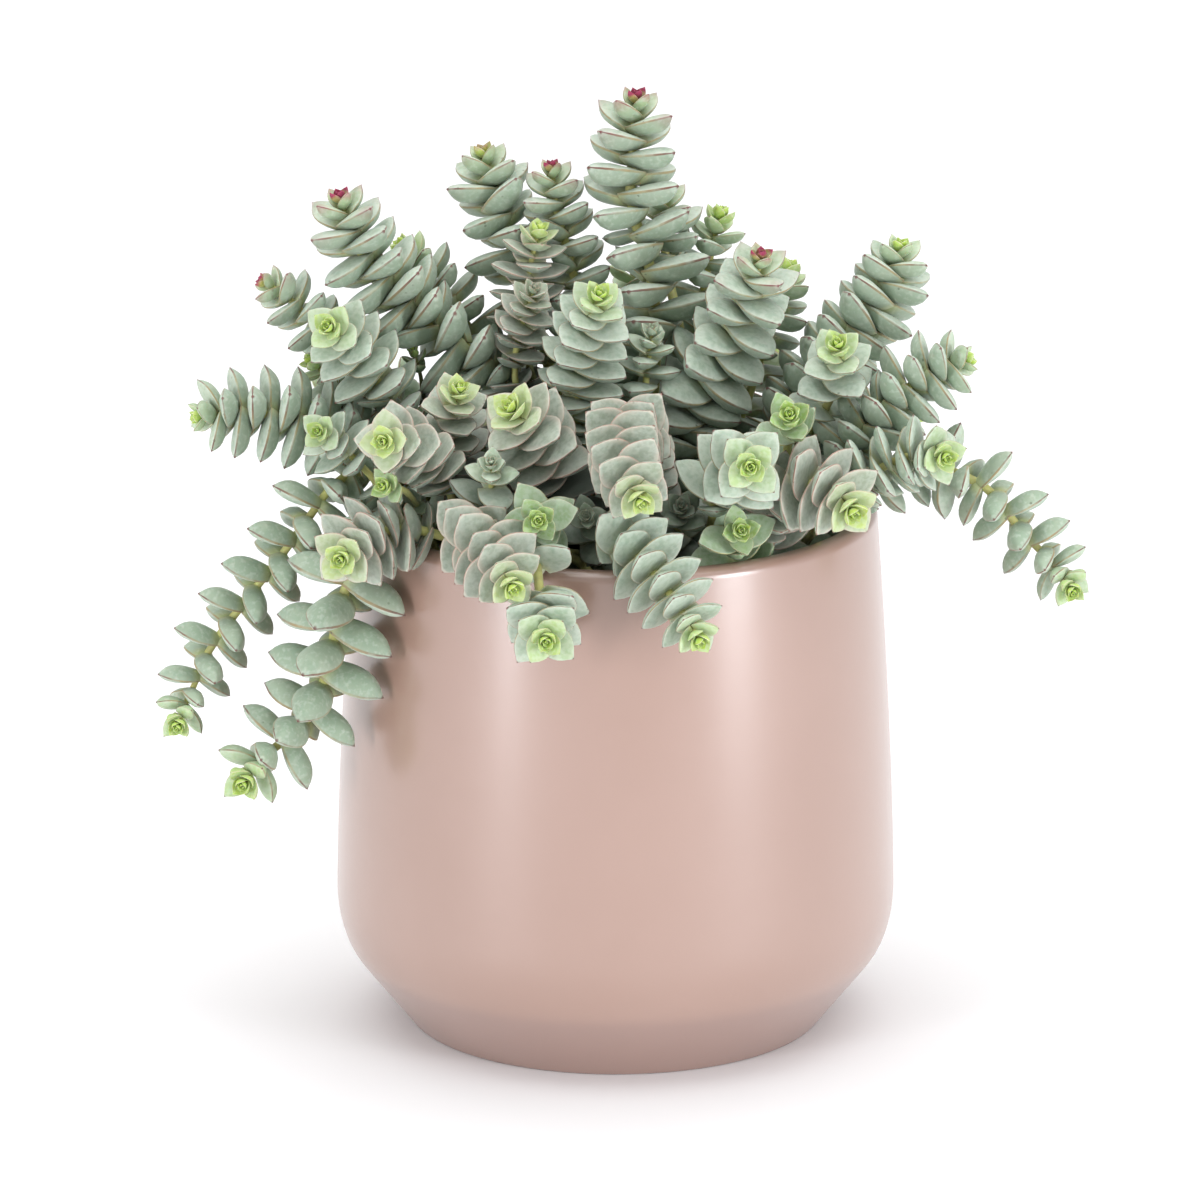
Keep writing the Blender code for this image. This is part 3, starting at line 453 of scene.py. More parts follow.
STEMS = (
    Stem("spire", OPEN, 11.8, 4.9, 15, False, 45,
         ((5, 16, 231.5), (4, 16, 216), (4, 14, 204), (8, 12, 191), (10, 10, 174), (9, 8, 151))),
    Stem("over_left", DENSE, 8.8, 3.1, 8, True, 30,
         ((-24.5, -86, 134.5), (-26.4, -79, 136.5), (-30.5, -69, 138.8), (-33.5, -59, 139.6),
          (-33, -50, 137))),
    Stem("over_twin", BROAD, 9.8, 3.3, 6, True, 50,
         ((-16.5, -91, 122.8), (-17, -84, 123.8), (-18, -76, 129), (-19, -67, 135),
          (-20, -59, 137.5), (-20, -50, 133))),
    Stem("over_front", BROAD, 8.4, 3.5, 9, True, 30,
         ((19.8, -90, 122.8), (17.3, -84, 126), (12.5, -77, 131.2), (7, -69, 136),
          (1.5, -60, 138.8), (-1, -52, 137))),
    Stem("arch_front", DENSE, 9.0, 3.3, 11, True, 45,
         ((6, -76, 153), (4, -68, 156.5), (2, -58, 159.5), (2, -48, 161.5), (4, -38, 160),
          (6, -31, 152))),
    Stem("front_rosette", BROAD, 10.0, 3.8, 6, True, 40,
         ((32.2, -67, 159.2), (31.5, -59, 157.5), (28.5, -51, 153.5), (24, -44, 145))),
    Stem("right_rosette", DENSE, 10.5, 3.4, 8, True, 30,
         ((57.2, -59, 145.8), (53.5, -52, 148), (46, -46, 149.5), (39, -40, 145))),
    Stem("trail_near", TRAILING, 11.4, 6.0, 13, True, 45,
         ((-91, -43, 72.8), (-89.4, -37, 74.2), (-85.5, -34, 77.5), (-77, -34, 85), (-72, -37, 95),
          (-69, -40, 108), (-66, -41, 121), (-61, -40, 131), (-53, -34, 137), (-45, -30, 133))),
    Stem("trail_far", TRAILING, 8.8, 5.4, 16, True, 45,
         ((-107.8, -31, 84), (-107, -25, 86), (-104, -22, 91.5), (-100.5, -22, 100),
          (-92, -22, 112), (-83, -24, 124), (-75, -23, 135), (-68, -19, 143), (-59, -15, 143),
          (-50, -12, 131))),
    Stem("trail_right", TRAILING, 8.9, 4.8, 13, True, 45,
         ((111.8, -31, 118.6), (110.3, -25, 120.4), (105.8, -22, 124.5), (98, -22, 133),
          (92, -22, 141), (84, -20, 145), (74, -14, 146), (63, -8, 140), (53, -6, 129))),
    Stem("big_cream", DENSE, 10.8, 3.2, 11, True, 50,
         ((-25.5, -44, 168), (-21, -38, 160), (-17, -32, 151), (-15, -28, 141), (-15, -27, 132))),
    Stem("twin_yellow", DENSE, 9.2, 3.2, 8, True, 15,
         ((-56, -54, 162), (-53.5, -47, 160), (-47, -40, 155), (-41, -35, 146), (-38, -34, 132))),
    Stem("red_left", OPEN, 11.2, 4.1, 14, False, 45,
         ((-68, 4, 209), (-65, 5, 198), (-57, 6, 187), (-46, 6, 176), (-33, 6, 167),
          (-21, 5, 150))),
    Stem("far_left", OPEN, 10.0, 3.6, 11, False, 45,
         ((-103, -15, 158), (-95, -13, 158.5), (-84, -11, 157.5), (-72, -9, 154), (-58, -6, 146),
          (-48, -5, 132))),
    Stem("tall_right", OPEN, 10.8, 3.6, 12, False, 45,
         ((70.5, 12, 195), (69, 12, 188), (65, 10, 180), (57, 8, 171), (49, 4, 160), (41, 0, 147))),
    Stem("red_right", OPEN, 11.0, 4.2, 13, False, 30,
         ((35.5, -14, 198.5), (33.6, -11, 189), (29.8, -7, 178.5), (26, -3, 170), (21, 0, 162),
          (18, 2, 148))),
    Stem("far_right", OPEN, 9.5, 3.4, 12, False, 45,
         ((86.5, -17, 173.2), (80, -17, 171), (71, -18, 166), (62, -21, 157), (55, -24, 148),
          (46, -25, 138))),
    Stem("left_rosette", BROAD, 9.5, 3.8, 8, True, 45,
         ((-70, -24, 183), (-67.5, -18, 179.5), (-63.5, -13, 173), (-58.5, -10, 165.5),
          (-52, -8, 154), (-43, -8, 135))),
    Stem("blue_rosette", BROAD, 9.2, 3.2, 10, True, 45,
         ((-4, -24, 191), (-6, -18, 181), (-8, -14, 172), (-9, -12, 162), (-9, -10, 143))),
    Stem("green_right", BROAD, 9.2, 3.8, 6, True, 30,
         ((54, -26, 179), (54, -20, 171), (52, -15, 161), (46, -11, 149))),
    Stem("cream_rosette", DENSE, 8.5, 3.3, 6, True, 20,
         ((-38, -34, 170), (-40, -30, 163), (-40, -26, 154), (-38, -22, 139))),
    Stem("left_cream", DENSE, 9.8, 3.3, 8, True, 45,
         ((-66.3, -62, 134.8), (-64.6, -56, 134.8), (-60.5, -50.5, 136.5), (-53, -46, 138.2),
          (-44, -41.5, 136), (-38, -36, 129))),
    Stem("right_drop", BROAD, 9.0, 3.4, 8, True, 15,
         ((79.7, -46, 156), (76, -40, 155.5), (69, -38, 153.5), (59, -36, 147), (50, -32, 137))),
    Stem("pink_left", OPEN, 11.4, 4.4, 9, False, 45,
         ((-33, 28, 215), (-31, 27, 205), (-27, 25, 194), (-21, 22, 178), (-15, 18, 156))),
    Stem("red_mid", OPEN, 9.5, 4.2, 9, False, 45,
         ((-16, 20, 213), (-15, 20, 203), (-12, 19, 192), (-9, 18, 178), (-6, 14, 155))),
    Stem("pink_outer", OPEN, 9.0, 4.4, 6, False, 45,
         ((-87, 6, 187), (-80, 6, 182), (-71, 6, 172), (-57, 5, 157), (-44, 2, 140))),
    Stem("mid_green", DENSE, 8.0, 3.0, 9, True, 10,
         ((-19, 8, 200), (-21, 9, 191), (-22, 10, 179), (-20, 8, 156))),
    Stem("grey_knot", DENSE, 7.0, 2.7, 7, True, 45,
         ((-20, -6, 188), (-23, -2, 178), (-25, 0, 167), (-24, 0, 151))),
    Stem("left_behind", OPEN, 9.8, 4.5, 7, True, 45,
         ((-53, 22, 192), (-47, 22, 185), (-38, 20, 174), (-29, 16, 157))),
    Stem("spire_twin", OPEN, 10.4, 4.4, 6, False, 45,
         ((12, 26, 206), (12, 26, 195), (13, 25, 184), (16, 23, 171), (18, 20, 155))),
    Stem("green_back", OPEN, 9.0, 4.1, 6, True, 70,
         ((26, 32, 198), (24, 31, 189), (22, 30, 179), (20, 28, 159))),
    Stem("right_behind", OPEN, 9.0, 4.5, 6, True, 35,
         ((43, 20, 187), (41, 18, 179), (37, 15, 169), (32, 12, 153))),
    Stem("grey_small", OPEN, 7.5, 3.6, 5, True, 60,
         ((9, -9, 178), (8, -7, 170), (7, -6, 160), (6, -6, 147))),
    Stem("lime_star", YOUNG, 9.4, 3.8, 3, True, 25,
         ((42, -44, 166), (42, -37, 160), (41, -32, 150))),
    Stem("green_star", YOUNG, 8.0, 3.4, 3, True, 40,
         ((-18.5, -70, 146.8), (-18.5, -63, 145), (-18.6, -54, 140), (-19, -44, 131))),
    Stem("rim_star", YOUNG, 8.5, 3.4, 3, True, 20,
         ((30.2, -58, 141), (29, -52, 138), (28, -47, 132))),
    Stem("left_small", OPEN, 8.2, 3.9, 4, True, 15,
         ((-75, 5, 167), (-69, 6, 162), (-60, 7, 152), (-52, 7, 138))),
    Stem("left_bud", BROAD, 7.2, 3.2, 5, True, 50,
         ((-72.5, -33, 159), (-70.5, -28, 156.8), (-66, -25, 152), (-59.5, -22, 144),
          (-51, -20, 131))),
    Stem("low_bud", YOUNG, 7.0, 3.6, 3, True, 30,
         ((-56, -54, 151), (-51, -44, 147), (-46, -36, 137))),
    Stem("left_green", YOUNG, 5.5, 4.0, 3, True, 10,
         ((-50, 3, 170), (-48, 4, 162), (-46, 4, 148))),
    Stem("grey_pair", OPEN, 8.0, 4.0, 3, True, 80,
         ((-30, -52, 156), (-30, -46, 148), (-31, -41, 136))),
    Stem("pebbles", OPEN, 7.5, 3.8, 3, True, 5,
         ((-7, -56, 144), (-6, -50, 140), (-5, -45, 132))),
    Stem("grey_right", OPEN, 9.5, 4.0, 3, True, 50,
         ((16, -44, 143), (16, -39, 138), (15, -34, 131))),
    Stem("back_spire", OPEN, 10.0, 4.8, 7, True, 25,
         ((4, 40, 184), (5, 38, 172), (6, 34, 156), (6, 32, 140))),
    Stem("back_left", OPEN, 9.5, 4.6, 6, True, 60,
         ((-60, 40, 152), (-52, 38, 150), (-42, 34, 144), (-34, 30, 134))),
    Stem("back_mid_left", DENSE, 10.0, 3.8, 6, True, 35,
         ((-38, 58, 158), (-32, 50, 152), (-26, 42, 142), (-24, 38, 132))),
    Stem("back_mid", OPEN, 10.0, 4.4, 6, True, 10,
         ((-10, 66, 152), (-10, 56, 154), (-8, 46, 146), (-8, 42, 134))),
    Stem("back_mid_right", OPEN, 10.0, 4.4, 6, True, 45,
         ((14, 62, 162), (12, 54, 156), (10, 46, 144), (10, 42, 134))),
    Stem("back_right", DENSE, 9.5, 3.8, 6, True, 70,
         ((38, 58, 156), (32, 50, 152), (26, 42, 142), (24, 38, 132))),
    Stem("back_far_right", OPEN, 10.0, 4.6, 6, True, 30,
         ((60, 40, 158), (51, 36, 154), (43, 32, 144), (38, 28, 132))),
    Stem("back_low_right", OPEN, 9.5, 4.2, 6, True, 55,
         ((62, 58, 132), (55, 50, 140), (46, 42, 138), (40, 38, 130))),
    Stem("back_low_left", OPEN, 9.5, 4.2, 6, True, 15,
         ((-64, 52, 128), (-57, 46, 138), (-48, 39, 137), (-42, 35, 130))),
    Stem("back_side_left", OPEN, 9.5, 4.6, 6, True, 40,
         ((-76, 22, 152), (-67, 21, 152), (-57, 19, 146), (-50, 16, 133))),
    Stem("back_side_right", OPEN, 9.5, 4.6, 6, True, 65,
         ((74, 20, 150), (67, 18, 151), (60, 15, 146), (54, 12, 133))),
    Stem("trail_back_right", TRAILING, 11.0, 6.0, 9, True, 45,
         ((56, 80, 86), (49, 76, 102), (42, 69, 120), (36, 59, 134), (31, 50, 137),
          (28, 44, 130))),
    Stem("trail_back_left", TRAILING, 11.0, 6.0, 9, True, 45,
         ((-48, 84, 94), (-44, 78, 108), (-38, 70, 124), (-33, 60, 135), (-29, 51, 137),
          (-26, 46, 130))),
    Stem("over_back", OPEN, 10.0, 4.2, 8, True, 75,
         ((8, 90, 118), (7, 81, 130), (4, 70, 138), (2, 60, 138), (1, 54, 132))),
)


@dataclass(frozen=True)
class PotShape:
    """The pot's outline and the soil in it, in millimetres."""

    height: float = 132.0
    foot_radius: float = 51.8
    chamfer_radius: float = 66.6
    chamfer_top: float = 18.6
    belly_radius: float = 70.0
    belly_top: float = 33.0
    rim_radius: float = 64.9
    taper_power: float = 1.5
    wall: float = 4.5
    floor: float = 6.0
    soil_top: float = 118.0

    def radius(self, height: float) -> float:
        """Finds the outer radius.

        Args:
            height: A height above the foot.

        Returns:
            The radius there.
        """
        if height <= self.chamfer_top:
            widening = self.chamfer_radius - self.foot_radius
            return self.foot_radius + widening * height / self.chamfer_top
        if height <= self.belly_top:
            share = (self.belly_top - height) / (self.belly_top - self.chamfer_top)
            return self.belly_radius - (self.belly_radius - self.chamfer_radius) * share ** 2
        share = (height - self.belly_top) / (self.height - self.belly_top)
        return self.belly_radius - (self.belly_radius - self.rim_radius) * share ** self.taper_power


POT = PotShape()


@dataclass(frozen=True)
class Plan:
    """The rule by which the solids' leaves were placed, in millimetres, degrees and shares."""

    clearance: float = 0.3
    hole_depth: float = 8.0
    roots_radius: float = 52.0
    root_lead: float = 4.0
    golden_angle: float = math.radians(137.508)
    swap_gain: float = 0.01
    stem_radius_per_leaf: float = 0.165
    stem_per_half_width: float = 0.36
    guard_swell: float = 1.1
    guard_step: float = 5.0
    core_depth: float = 0.9
    core_per_thickness: float = 0.35
    route_step: float = 6.0
    curve_parts: int = 8
    direction_reach: float = 1.5
    stem_spacing: float = 8.0
    lip_spacing: float = 6.2
    spreading_rounds: int = 40
    spreading_share: float = 0.6
    spreading_rise: float = 0.5
    pinned_places: int = 3
    tip_stiffness: float = 0.12
    rosette_lengths: tuple = (0.5, 0.64, 0.76, 0.87, 0.95)
    bud_lengths: tuple = (0.42, 0.64, 0.84, 0.95, 1.0)
    young_gaps: tuple = (0.42, 0.55, 0.7, 0.84, 0.95)
    bud_lifts: tuple = (42.0, 28.0, 15.0, 7.0, 3.0)
    rosette_lifts: tuple = (36.0, 25.0, 16.0, 8.0, 3.0)
    tip_share: float = 0.16
    length_spread: tuple = (0.95, 1.06)
    first_share: float = 0.93
    growth_per_pair: float = 0.018
    lift_spread: float = 4
    turn_spread: float = 6
    widest_at: float = 0.34
    shoulder_at: float = 0.74
    shoulder_width: float = 0.66
    keel_at: float = 0.56
    plain_leaf_length: float = 10.3
    plain_widest_at: float = 0.46
    hinge_per_radius: float = 1.15
    pair_turns: tuple = (0, 12, -12, 24, -24, 36, -36)
    leaf_fits: tuple = ((0, 1.0), (12, 1.0), (-12, 1.0), (0, 0.86), (24, 0.9), (12, 0.76),
                        (36, 0.78), (0, 0.64), (48, 0.6))
    stunted_leaf: tuple = (55, 0.34)
    probe_swell: float = 0.75
    swell_over: float = 0.4
    swell_under: float = 0.6
    swell_beyond: float = 1.5
    guard_sides: int = 3
    seed: int = 27


PLAN = Plan()


@dataclass(frozen=True)
class Filling:
    """What the fine planting adds to the solids' pairs."""

    rosette_age: float = 0.45
    bud_age: float = 0.66
    growing_pairs: int = 4
    heart_lengths: tuple = (0.4, 0.3, 0.21, 0.13)
    bud_share: float = 0.8
    heart_gaps: tuple = (0.2, 0.16, 0.12, 0.09)
    heart_bud_lifts: tuple = (44.0, 54.0, 64.0, 76.0)
    heart_rosette_lifts: tuple = (46.0, 55.0, 65.0, 76.0)
    heart_half_width: float = 0.48
    heart_thickness: float = 0.22
    heart_turn_spread: float = 8.0
    heart_lift_spread: float = 3.0
    heart_leaf_lift_spread: float = 4.0
    heart_leaf_sizes: tuple = (0.94, 1.06)
    heart_age: float = 0.42
    heart_age_step: float = 0.1
    lower_turns: tuple = (0, 20, -20)
    lower_fits: tuple = ((0, 1.0), (10, 0.84), (24, 0.7), (0, 0.55))
    lower_size: float = 1.08
    lower_gaps: tuple = (0.96, 1.1)
    lower_spread: float = 5.0
    lowest_above_root: float = 12.0
    # The painted shade of pairs that lie deep in the crown, from the pairs further out
    crown_middle: Vector = Vector((0.0, 0.0, 130.0))
    shade_reach: float = 30.0
    shade_facing: float = 0.2
    shade_from: float = 2.5
    shade_to: float = 13.0
    seed: int = 91


FILLING = Filling()


@dataclass
class Leaf:
    """One leaf of a pair: lifted from square to the stem by its angle in degrees."""

    length: float
    half_width: float
    thickness: float
    lift: float

    def changed(self, lift: float, size: float) -> "Leaf":
        """Returns the leaf lifted further and made smaller."""
        return Leaf(self.length * size, self.half_width * size, self.thickness * size,
                    self.lift + lift)


@dataclass
class Pair:
    """Two opposite leaves fused round the stem, at a place with its own three directions."""

    place: Vector
    out: Vector
    across: Vector
    up: Vector
    leaf: Leaf
    radius: float
    along: float
    age: float = 1.0
    leaves: list[Leaf] = field(default_factory=list)

    def turned(self, degrees: float) -> "Pair":
        """Turns the pair about the stem.

        Args:
            degrees: How far it turns.

        Returns:
            The turned pair, without leaves.
        """
        turn = Quaternion(self.up, math.radians(degrees))
        out, across = turn @ self.out, turn @ self.across
        return Pair(self.place, out, across, self.up, self.leaf, self.radius, self.along, self.age)


def smooth_places(points: list[Vector], step: float) -> list[Vector]:
    """Follows the smooth curve through some points.

    Args:
        points: The points.
        step: How far apart the places lie.

    Returns:
        The places, from the first point to the last.
    """
    ends = [points[0] * 2 - points[1]] + points + [points[-1] * 2 - points[-2]]
    fine = [points[0]]
    for first, start, end, last in zip(ends, ends[1:], ends[2:], ends[3:]):
        for part in range(1, PLAN.curve_parts + 1):
            share = part / PLAN.curve_parts
            square = first * 2 - start * 5 + end * 4 - last
            cube = start * 3 - first - end * 3 + last
            bend = start * 2 + (end - first) * share + square * share ** 2 + cube * share ** 3
            fine.append(bend / 2)
    places = [fine[0].copy()]
    left = step
    for start, end in zip(fine, fine[1:]):
        length = (end - start).length
        while left <= length:
            places.append(start.lerp(end, left / length))
            left += step
        left -= length
    if (places[-1] - fine[-1]).length > step / 3:
        places.append(fine[-1].copy())
    return places


class Route:
    """A stem's middle line: places and directions at lengths from the tip."""

    def __init__(self, places: list[Vector]) -> None:
        """Samples the line every millimetre."""
        self.places = smooth_places(places, 1.0)

    def length(self) -> float:
        """Returns the whole length of the line."""
        return len(self.places) - 1.0

    def place(self, along: float) -> Vector:
        """Finds a place on the line.

        Args:
            along: A length from the tip.

        Returns:
            The place.
        """
        along = min(max(along, 0.0), self.length())
        number = min(int(along), len(self.places) - 2)
        return self.places[number].lerp(self.places[number + 1], along - number)

    def toward_tip(self, along: float) -> Vector:
        """Returns the direction in which the stem grows at a length from the tip."""
        reach = PLAN.direction_reach
        return (self.place(along - reach) - self.place(along + reach)).normalized()


def core_depth(leaf: Leaf) -> float:
    """Returns how deep the fused base of a pair reaches below its place."""
    return max(PLAN.core_depth, leaf.thickness * PLAN.core_per_thickness)


def leaf_points(pair: Pair, leaf: Leaf, side: int, swell: float) -> list[Vector]:
    """Finds the points of a coarse leaf.

    Args:
        pair: The leaf's pair.
        leaf: The leaf.
        side: Which of the two it is, 1 or -1.
        swell: How far it is swollen.

    Returns:
        Its tip, its shoulders if it has them, its two widest points and its keel.
    """
    lift = math.radians(leaf.lift)
    away = pair.out * side
    along = away * math.cos(lift) + pair.up * math.sin(lift)
    over = pair.up * math.cos(lift) - away * math.sin(lift)
    hinge = pair.place + away * (pair.radius * PLAN.hinge_per_radius)
    hinge = hinge + over * (swell * PLAN.swell_over)
    wide = leaf.half_width + swell
    plain = leaf.length < PLAN.plain_leaf_length
    widest_at = leaf.length * (PLAN.plain_widest_at if plain else PLAN.widest_at)
    across = pair.across * side
    points = [hinge + along * (leaf.length + swell * PLAN.swell_beyond)]
    if not plain:
        shoulder = hinge + along * (leaf.length * PLAN.shoulder_at + swell)
        reach = wide * PLAN.shoulder_width
        points += [shoulder + across * reach, shoulder - across * reach]
    middle = hinge + along * widest_at
    points += [middle + across * wide, middle - across * wide]
    deepest = leaf.thickness + swell * PLAN.swell_under
    points.append(hinge + along * leaf.length * PLAN.keel_at - over * deepest)
    return points


def closed_leaf(pair: Pair, leaf: Leaf, side: int, swell: float = 0.0) -> Solid:
    """Closes one coarse leaf.

    Args:
        pair: The leaf's pair.
        leaf: The leaf.
        side: Which of the two it is, 1 or -1.
        swell: How far it is swollen, to test whether it clears the others.

    Returns:
        The leaf as a solid.
    """
    points = leaf_points(pair, leaf, side, swell)
    keel = len(points) - 1
    wide, other_wide = keel - 2, keel - 1
    beside, other_beside, low = keel + 1, keel + 2, keel + 3
    for corner in (points[wide], points[other_wide]):
        points.append(corner - pair.out * (corner - pair.place).dot(pair.out))
    points.append(pair.place - pair.up * (core_depth(leaf) + PLAN.clearance))
    rim, other_rim = [0, wide], [0, other_wide]
    top = [(0, wide, other_wide)]
    if wide > 1:
        rim, other_rim = [0, 1, wide], [0, 2, other_wide]
        top = [(0, 1, 2), (1, wide, other_wide), (1, other_wide, 2)]
    top += [(wide, beside, other_beside), (wide, other_beside, other_wide)]
    under = [(end, start, keel) for start, end in zip(rim, rim[1:])]
    under += [(start, end, keel) for start, end in zip(other_rim, other_rim[1:])]
    closing = [(beside, wide, low), (wide, keel, low), (keel, other_wide, low),
               (other_wide, other_beside, low), (other_beside, beside, low)]
    return points, top + under + closing


def guard_tube(line: Route, first: Pair, radius: float) -> Solid:
    """Lays a coarse tube round a stem's whole line, which keeps other stems' leaves off it.

    Args:
        line: The stem's line.
        first: Its first pair, whose directions the tube starts from.
        radius: The tube's radius.

    Returns:
        The tube as a solid.
    """
    sides = PLAN.guard_sides
    count = round(line.length() / PLAN.guard_step)
    stops = [line.length() * number / count for number in range(count + 1)]
    rings = []
    out, up = first.out, first.up
    for stop in stops:
        up_here = line.toward_tip(stop)
        out = up.rotation_difference(up_here) @ out
        out = (out - up_here * out.dot(up_here)).normalized()
        up = up_here
        across = up.cross(out)
        angles = [math.pi * (2 * number + 1) / sides for number in range(sides)]
        corners = [(radius * math.cos(angle), radius * math.sin(angle)) for angle in angles]
        rings.append([line.place(stop) + out * ahead + across * aside for ahead, aside in corners])
    rings = rings[::-1]
    points = [corner for ring in rings for corner in ring]
    faces = [(2, 1, 0)]
    last = len(points) - sides
    for number in range(0, last, sides):
        for corner in range(sides):
            after = (corner + 1) % sides
            faces.append((number + corner, number + after, number + sides + after))
            faces.append((number + corner, number + sides + after, number + sides + corner))
    faces.append((last, last + 1, last + 2))
    return points, faces


class Room:
    """Everything that stands already, with its owner, so that a leaf can be tested against it."""

    def __init__(self) -> None:
        """Starts empty."""
        self.points: list[Vector] = []
        self.faces: list[tuple[int, ...]] = []
        self.owners: list[str] = []
        self.tree: Optional[BVHTree] = None

    def add(self, solid: Solid, owner: str) -> None:
        """Adds a solid.

        Args:
            solid: The solid.
            owner: The name of the piece that it belongs to.
        """
        start = len(self.points)
        self.points += solid[0]
        self.faces += [tuple(start + corner for corner in face) for face in solid[1]]
        self.owners += [owner] * len(solid[1])
        self.tree = None

    def clear(self, solid: Solid, owner: str) -> bool:
        """Tells whether a solid touches nothing that belongs to others, and stays out of the soil.

        Args:
            solid: The solid.
            owner: The name of the piece that it belongs to.

        Returns:
            Whether it is clear.
        """
        points, faces = solid
        for point in points:
            low = point.z < POT.soil_top + PLAN.clearance
            if low and math.hypot(point.x, point.y) < POT.rim_radius:
                return False
        if self.tree is None:
            self.tree = BVHTree.FromPolygons(self.points, self.faces)
        probe = BVHTree.FromPolygons(points, faces)
        return all(self.owners[found] == owner for _, found in probe.overlap(self.tree))


class Planting:
    """The plan of the whole plant: the solids' pairs first, then the ones that only show finely."""

    def __init__(self, stems: tuple[Stem, ...]) -> None:
        """Bends the routes clear of one another and makes the room.

        Args:
            stems: The stems.
        """
        self.stems = stems
        self.room = Room()
        routes = self.spread_apart(self.rooted_routes())
        self.lines = {name: Route(places) for name, places in routes.items()}
        self.pairs: dict[str, list[Pair]] = {stem.name: [] for stem in stems}
        self.owners: list[str] = []
        self.tree: Optional[KDTree] = None

    def root_places(self) -> list[Vector]:
        """Spreads the roots evenly over the soil on a sunflower spiral.

        Returns:
            Their places.
        """
        places = []
        for number in range(len(self.stems)):
            reach = PLAN.roots_radius * math.sqrt((number + 0.5) / len(self.stems))
            angle = number * PLAN.golden_angle
            places.append(Vector((reach * math.cos(angle), reach * math.sin(angle), POT.soil_top)))
        return places

    def stem_roots(self) -> list[Vector]:
        """Gives each stem a root place, and swaps them until no swap would shorten two stems.

        Returns:
            The root places in the order of the stems.
        """
        feet = [Vector((*stem.route[-1][:2], POT.soil_top)) for stem in self.stems]
        roots = self.root_places()
        swapped = True
        while swapped:
            swapped = False
            for one in range(len(roots)):
                for other in range(one):
                    now = (roots[one] - feet[one]).length_squared
                    now += (roots[other] - feet[other]).length_squared
                    then = (roots[other] - feet[one]).length_squared
                    then += (roots[one] - feet[other]).length_squared
                    if then < now - PLAN.swap_gain:
                        roots[one], roots[other] = roots[other], roots[one]
                        swapped = True
        return roots

    def rooted_routes(self) -> dict[str, list[Vector]]:
        """Leads each stem's route on to its root and down into its hole.

        Returns:
            The routes by the stems' names.
        """
        routes = {}
        for stem, root in zip(self.stems, self.stem_roots()):
            points = [Vector(point) for point in stem.route]
            points.append(root + Vector((0, 0, PLAN.root_lead)))
            points.append(root - Vector((0, 0, PLAN.hole_depth - PLAN.clearance)))
            routes[stem.name] = smooth_places(points, PLAN.route_step)
            routes[stem.name][-1] = points[-1]
        return routes

    @staticmethod
    def push_from_lip(place: Vector) -> Vector:
        """Finds how far a place on a stem has to move to lie clear over the pot's lip.

        Args:
            place: The place.

        Returns:
            The move, which is nothing where the place is clear.
        """
        reach = math.hypot(place.x, place.y)
        middle = POT.rim_radius - POT.wall / 2
        lip_height = POT.height - POT.wall / 2
        lip = Vector((place.x * middle / reach, place.y * middle / reach, lip_height))
        away = place - lip
        return away.normalized() * max(0.0, PLAN.lip_spacing - away.length)

    def spread_apart(self, routes: dict[str, list[Vector]]) -> dict[str, list[Vector]]:
        """Bends the routes apart, the tips least and the ends in the soil not at all.

        Args:
            routes: The routes by the stems' names, which are changed.

        Returns:
            The same routes, bent.
        """
        names = [stem.name for stem in self.stems]
        spacing = PLAN.stem_spacing
        for _ in range(PLAN.spreading_rounds):
            tree = KDTree(sum(len(routes[name]) for name in names))
            owners = []
            for name in names:
                for place in routes[name]:
                    tree.insert(place, len(owners))
                    owners.append(name)
            tree.balance()
            for name in names:
                route = routes[name]
                moved = []
                for number, place in enumerate(route):
                    push = Vector()
                    for other, index, distance in tree.find_range(place, spacing):
                        if owners[index] != name and distance > 0:
                            push += (place - other) / distance * (spacing - distance) / 2
                    share = min(1.0, PLAN.tip_stiffness + number / len(route))
                    push.z *= PLAN.spreading_rise
                    push = push * share * PLAN.spreading_share
                    moved.append(place + push + self.push_from_lip(place))
                for number in range(len(route) - PLAN.pinned_places):
                    route[number] = moved[number]
        return routes

    def planned_pairs(self, stem: Stem, chance: random.Random) -> list[Pair]:
        """Plans a stem's pairs, each a quarter turn on from the one above.

        Args:
            stem: The stem.
            chance: The draws that vary its leaves.

        Returns:
            The pairs from the tip down, without leaves.
        """
        route = self.lines[stem.name]
        lengths, lifts = PLAN.bud_lengths, PLAN.bud_lifts
        if stem.rosette:
            lengths, lifts = PLAN.rosette_lengths, PLAN.rosette_lifts
        along = PLAN.tip_share * stem.leaf
        up = route.toward_tip(along)
        out = Vector((1, 0, 0)) - up * up.x
        out = Quaternion(up, math.radians(stem.turn)) @ out.normalized()
        pairs = []
        for number in range(stem.pairs):
            young = number < len(lengths)
            length = stem.leaf * (PLAN.first_share + PLAN.growth_per_pair * number)
            length *= lengths[number] if young else chance.uniform(*PLAN.length_spread)
            spread = lifts[number] if young else chance.uniform(-PLAN.lift_spread, PLAN.lift_spread)
            lift = stem.habit.lift + spread
            pairs.append(self.next_pair(stem, along, up, out, length, lift, chance))
            youngest = FILLING.rosette_age if stem.rosette else FILLING.bud_age
            pairs[-1].age = youngest + (1.0 - youngest) * min(1.0, number / FILLING.growing_pairs)
            out, up = pairs[-1].out, pairs[-1].up
            along += stem.gap * (PLAN.young_gaps[number] if young else 1.0)
        return pairs

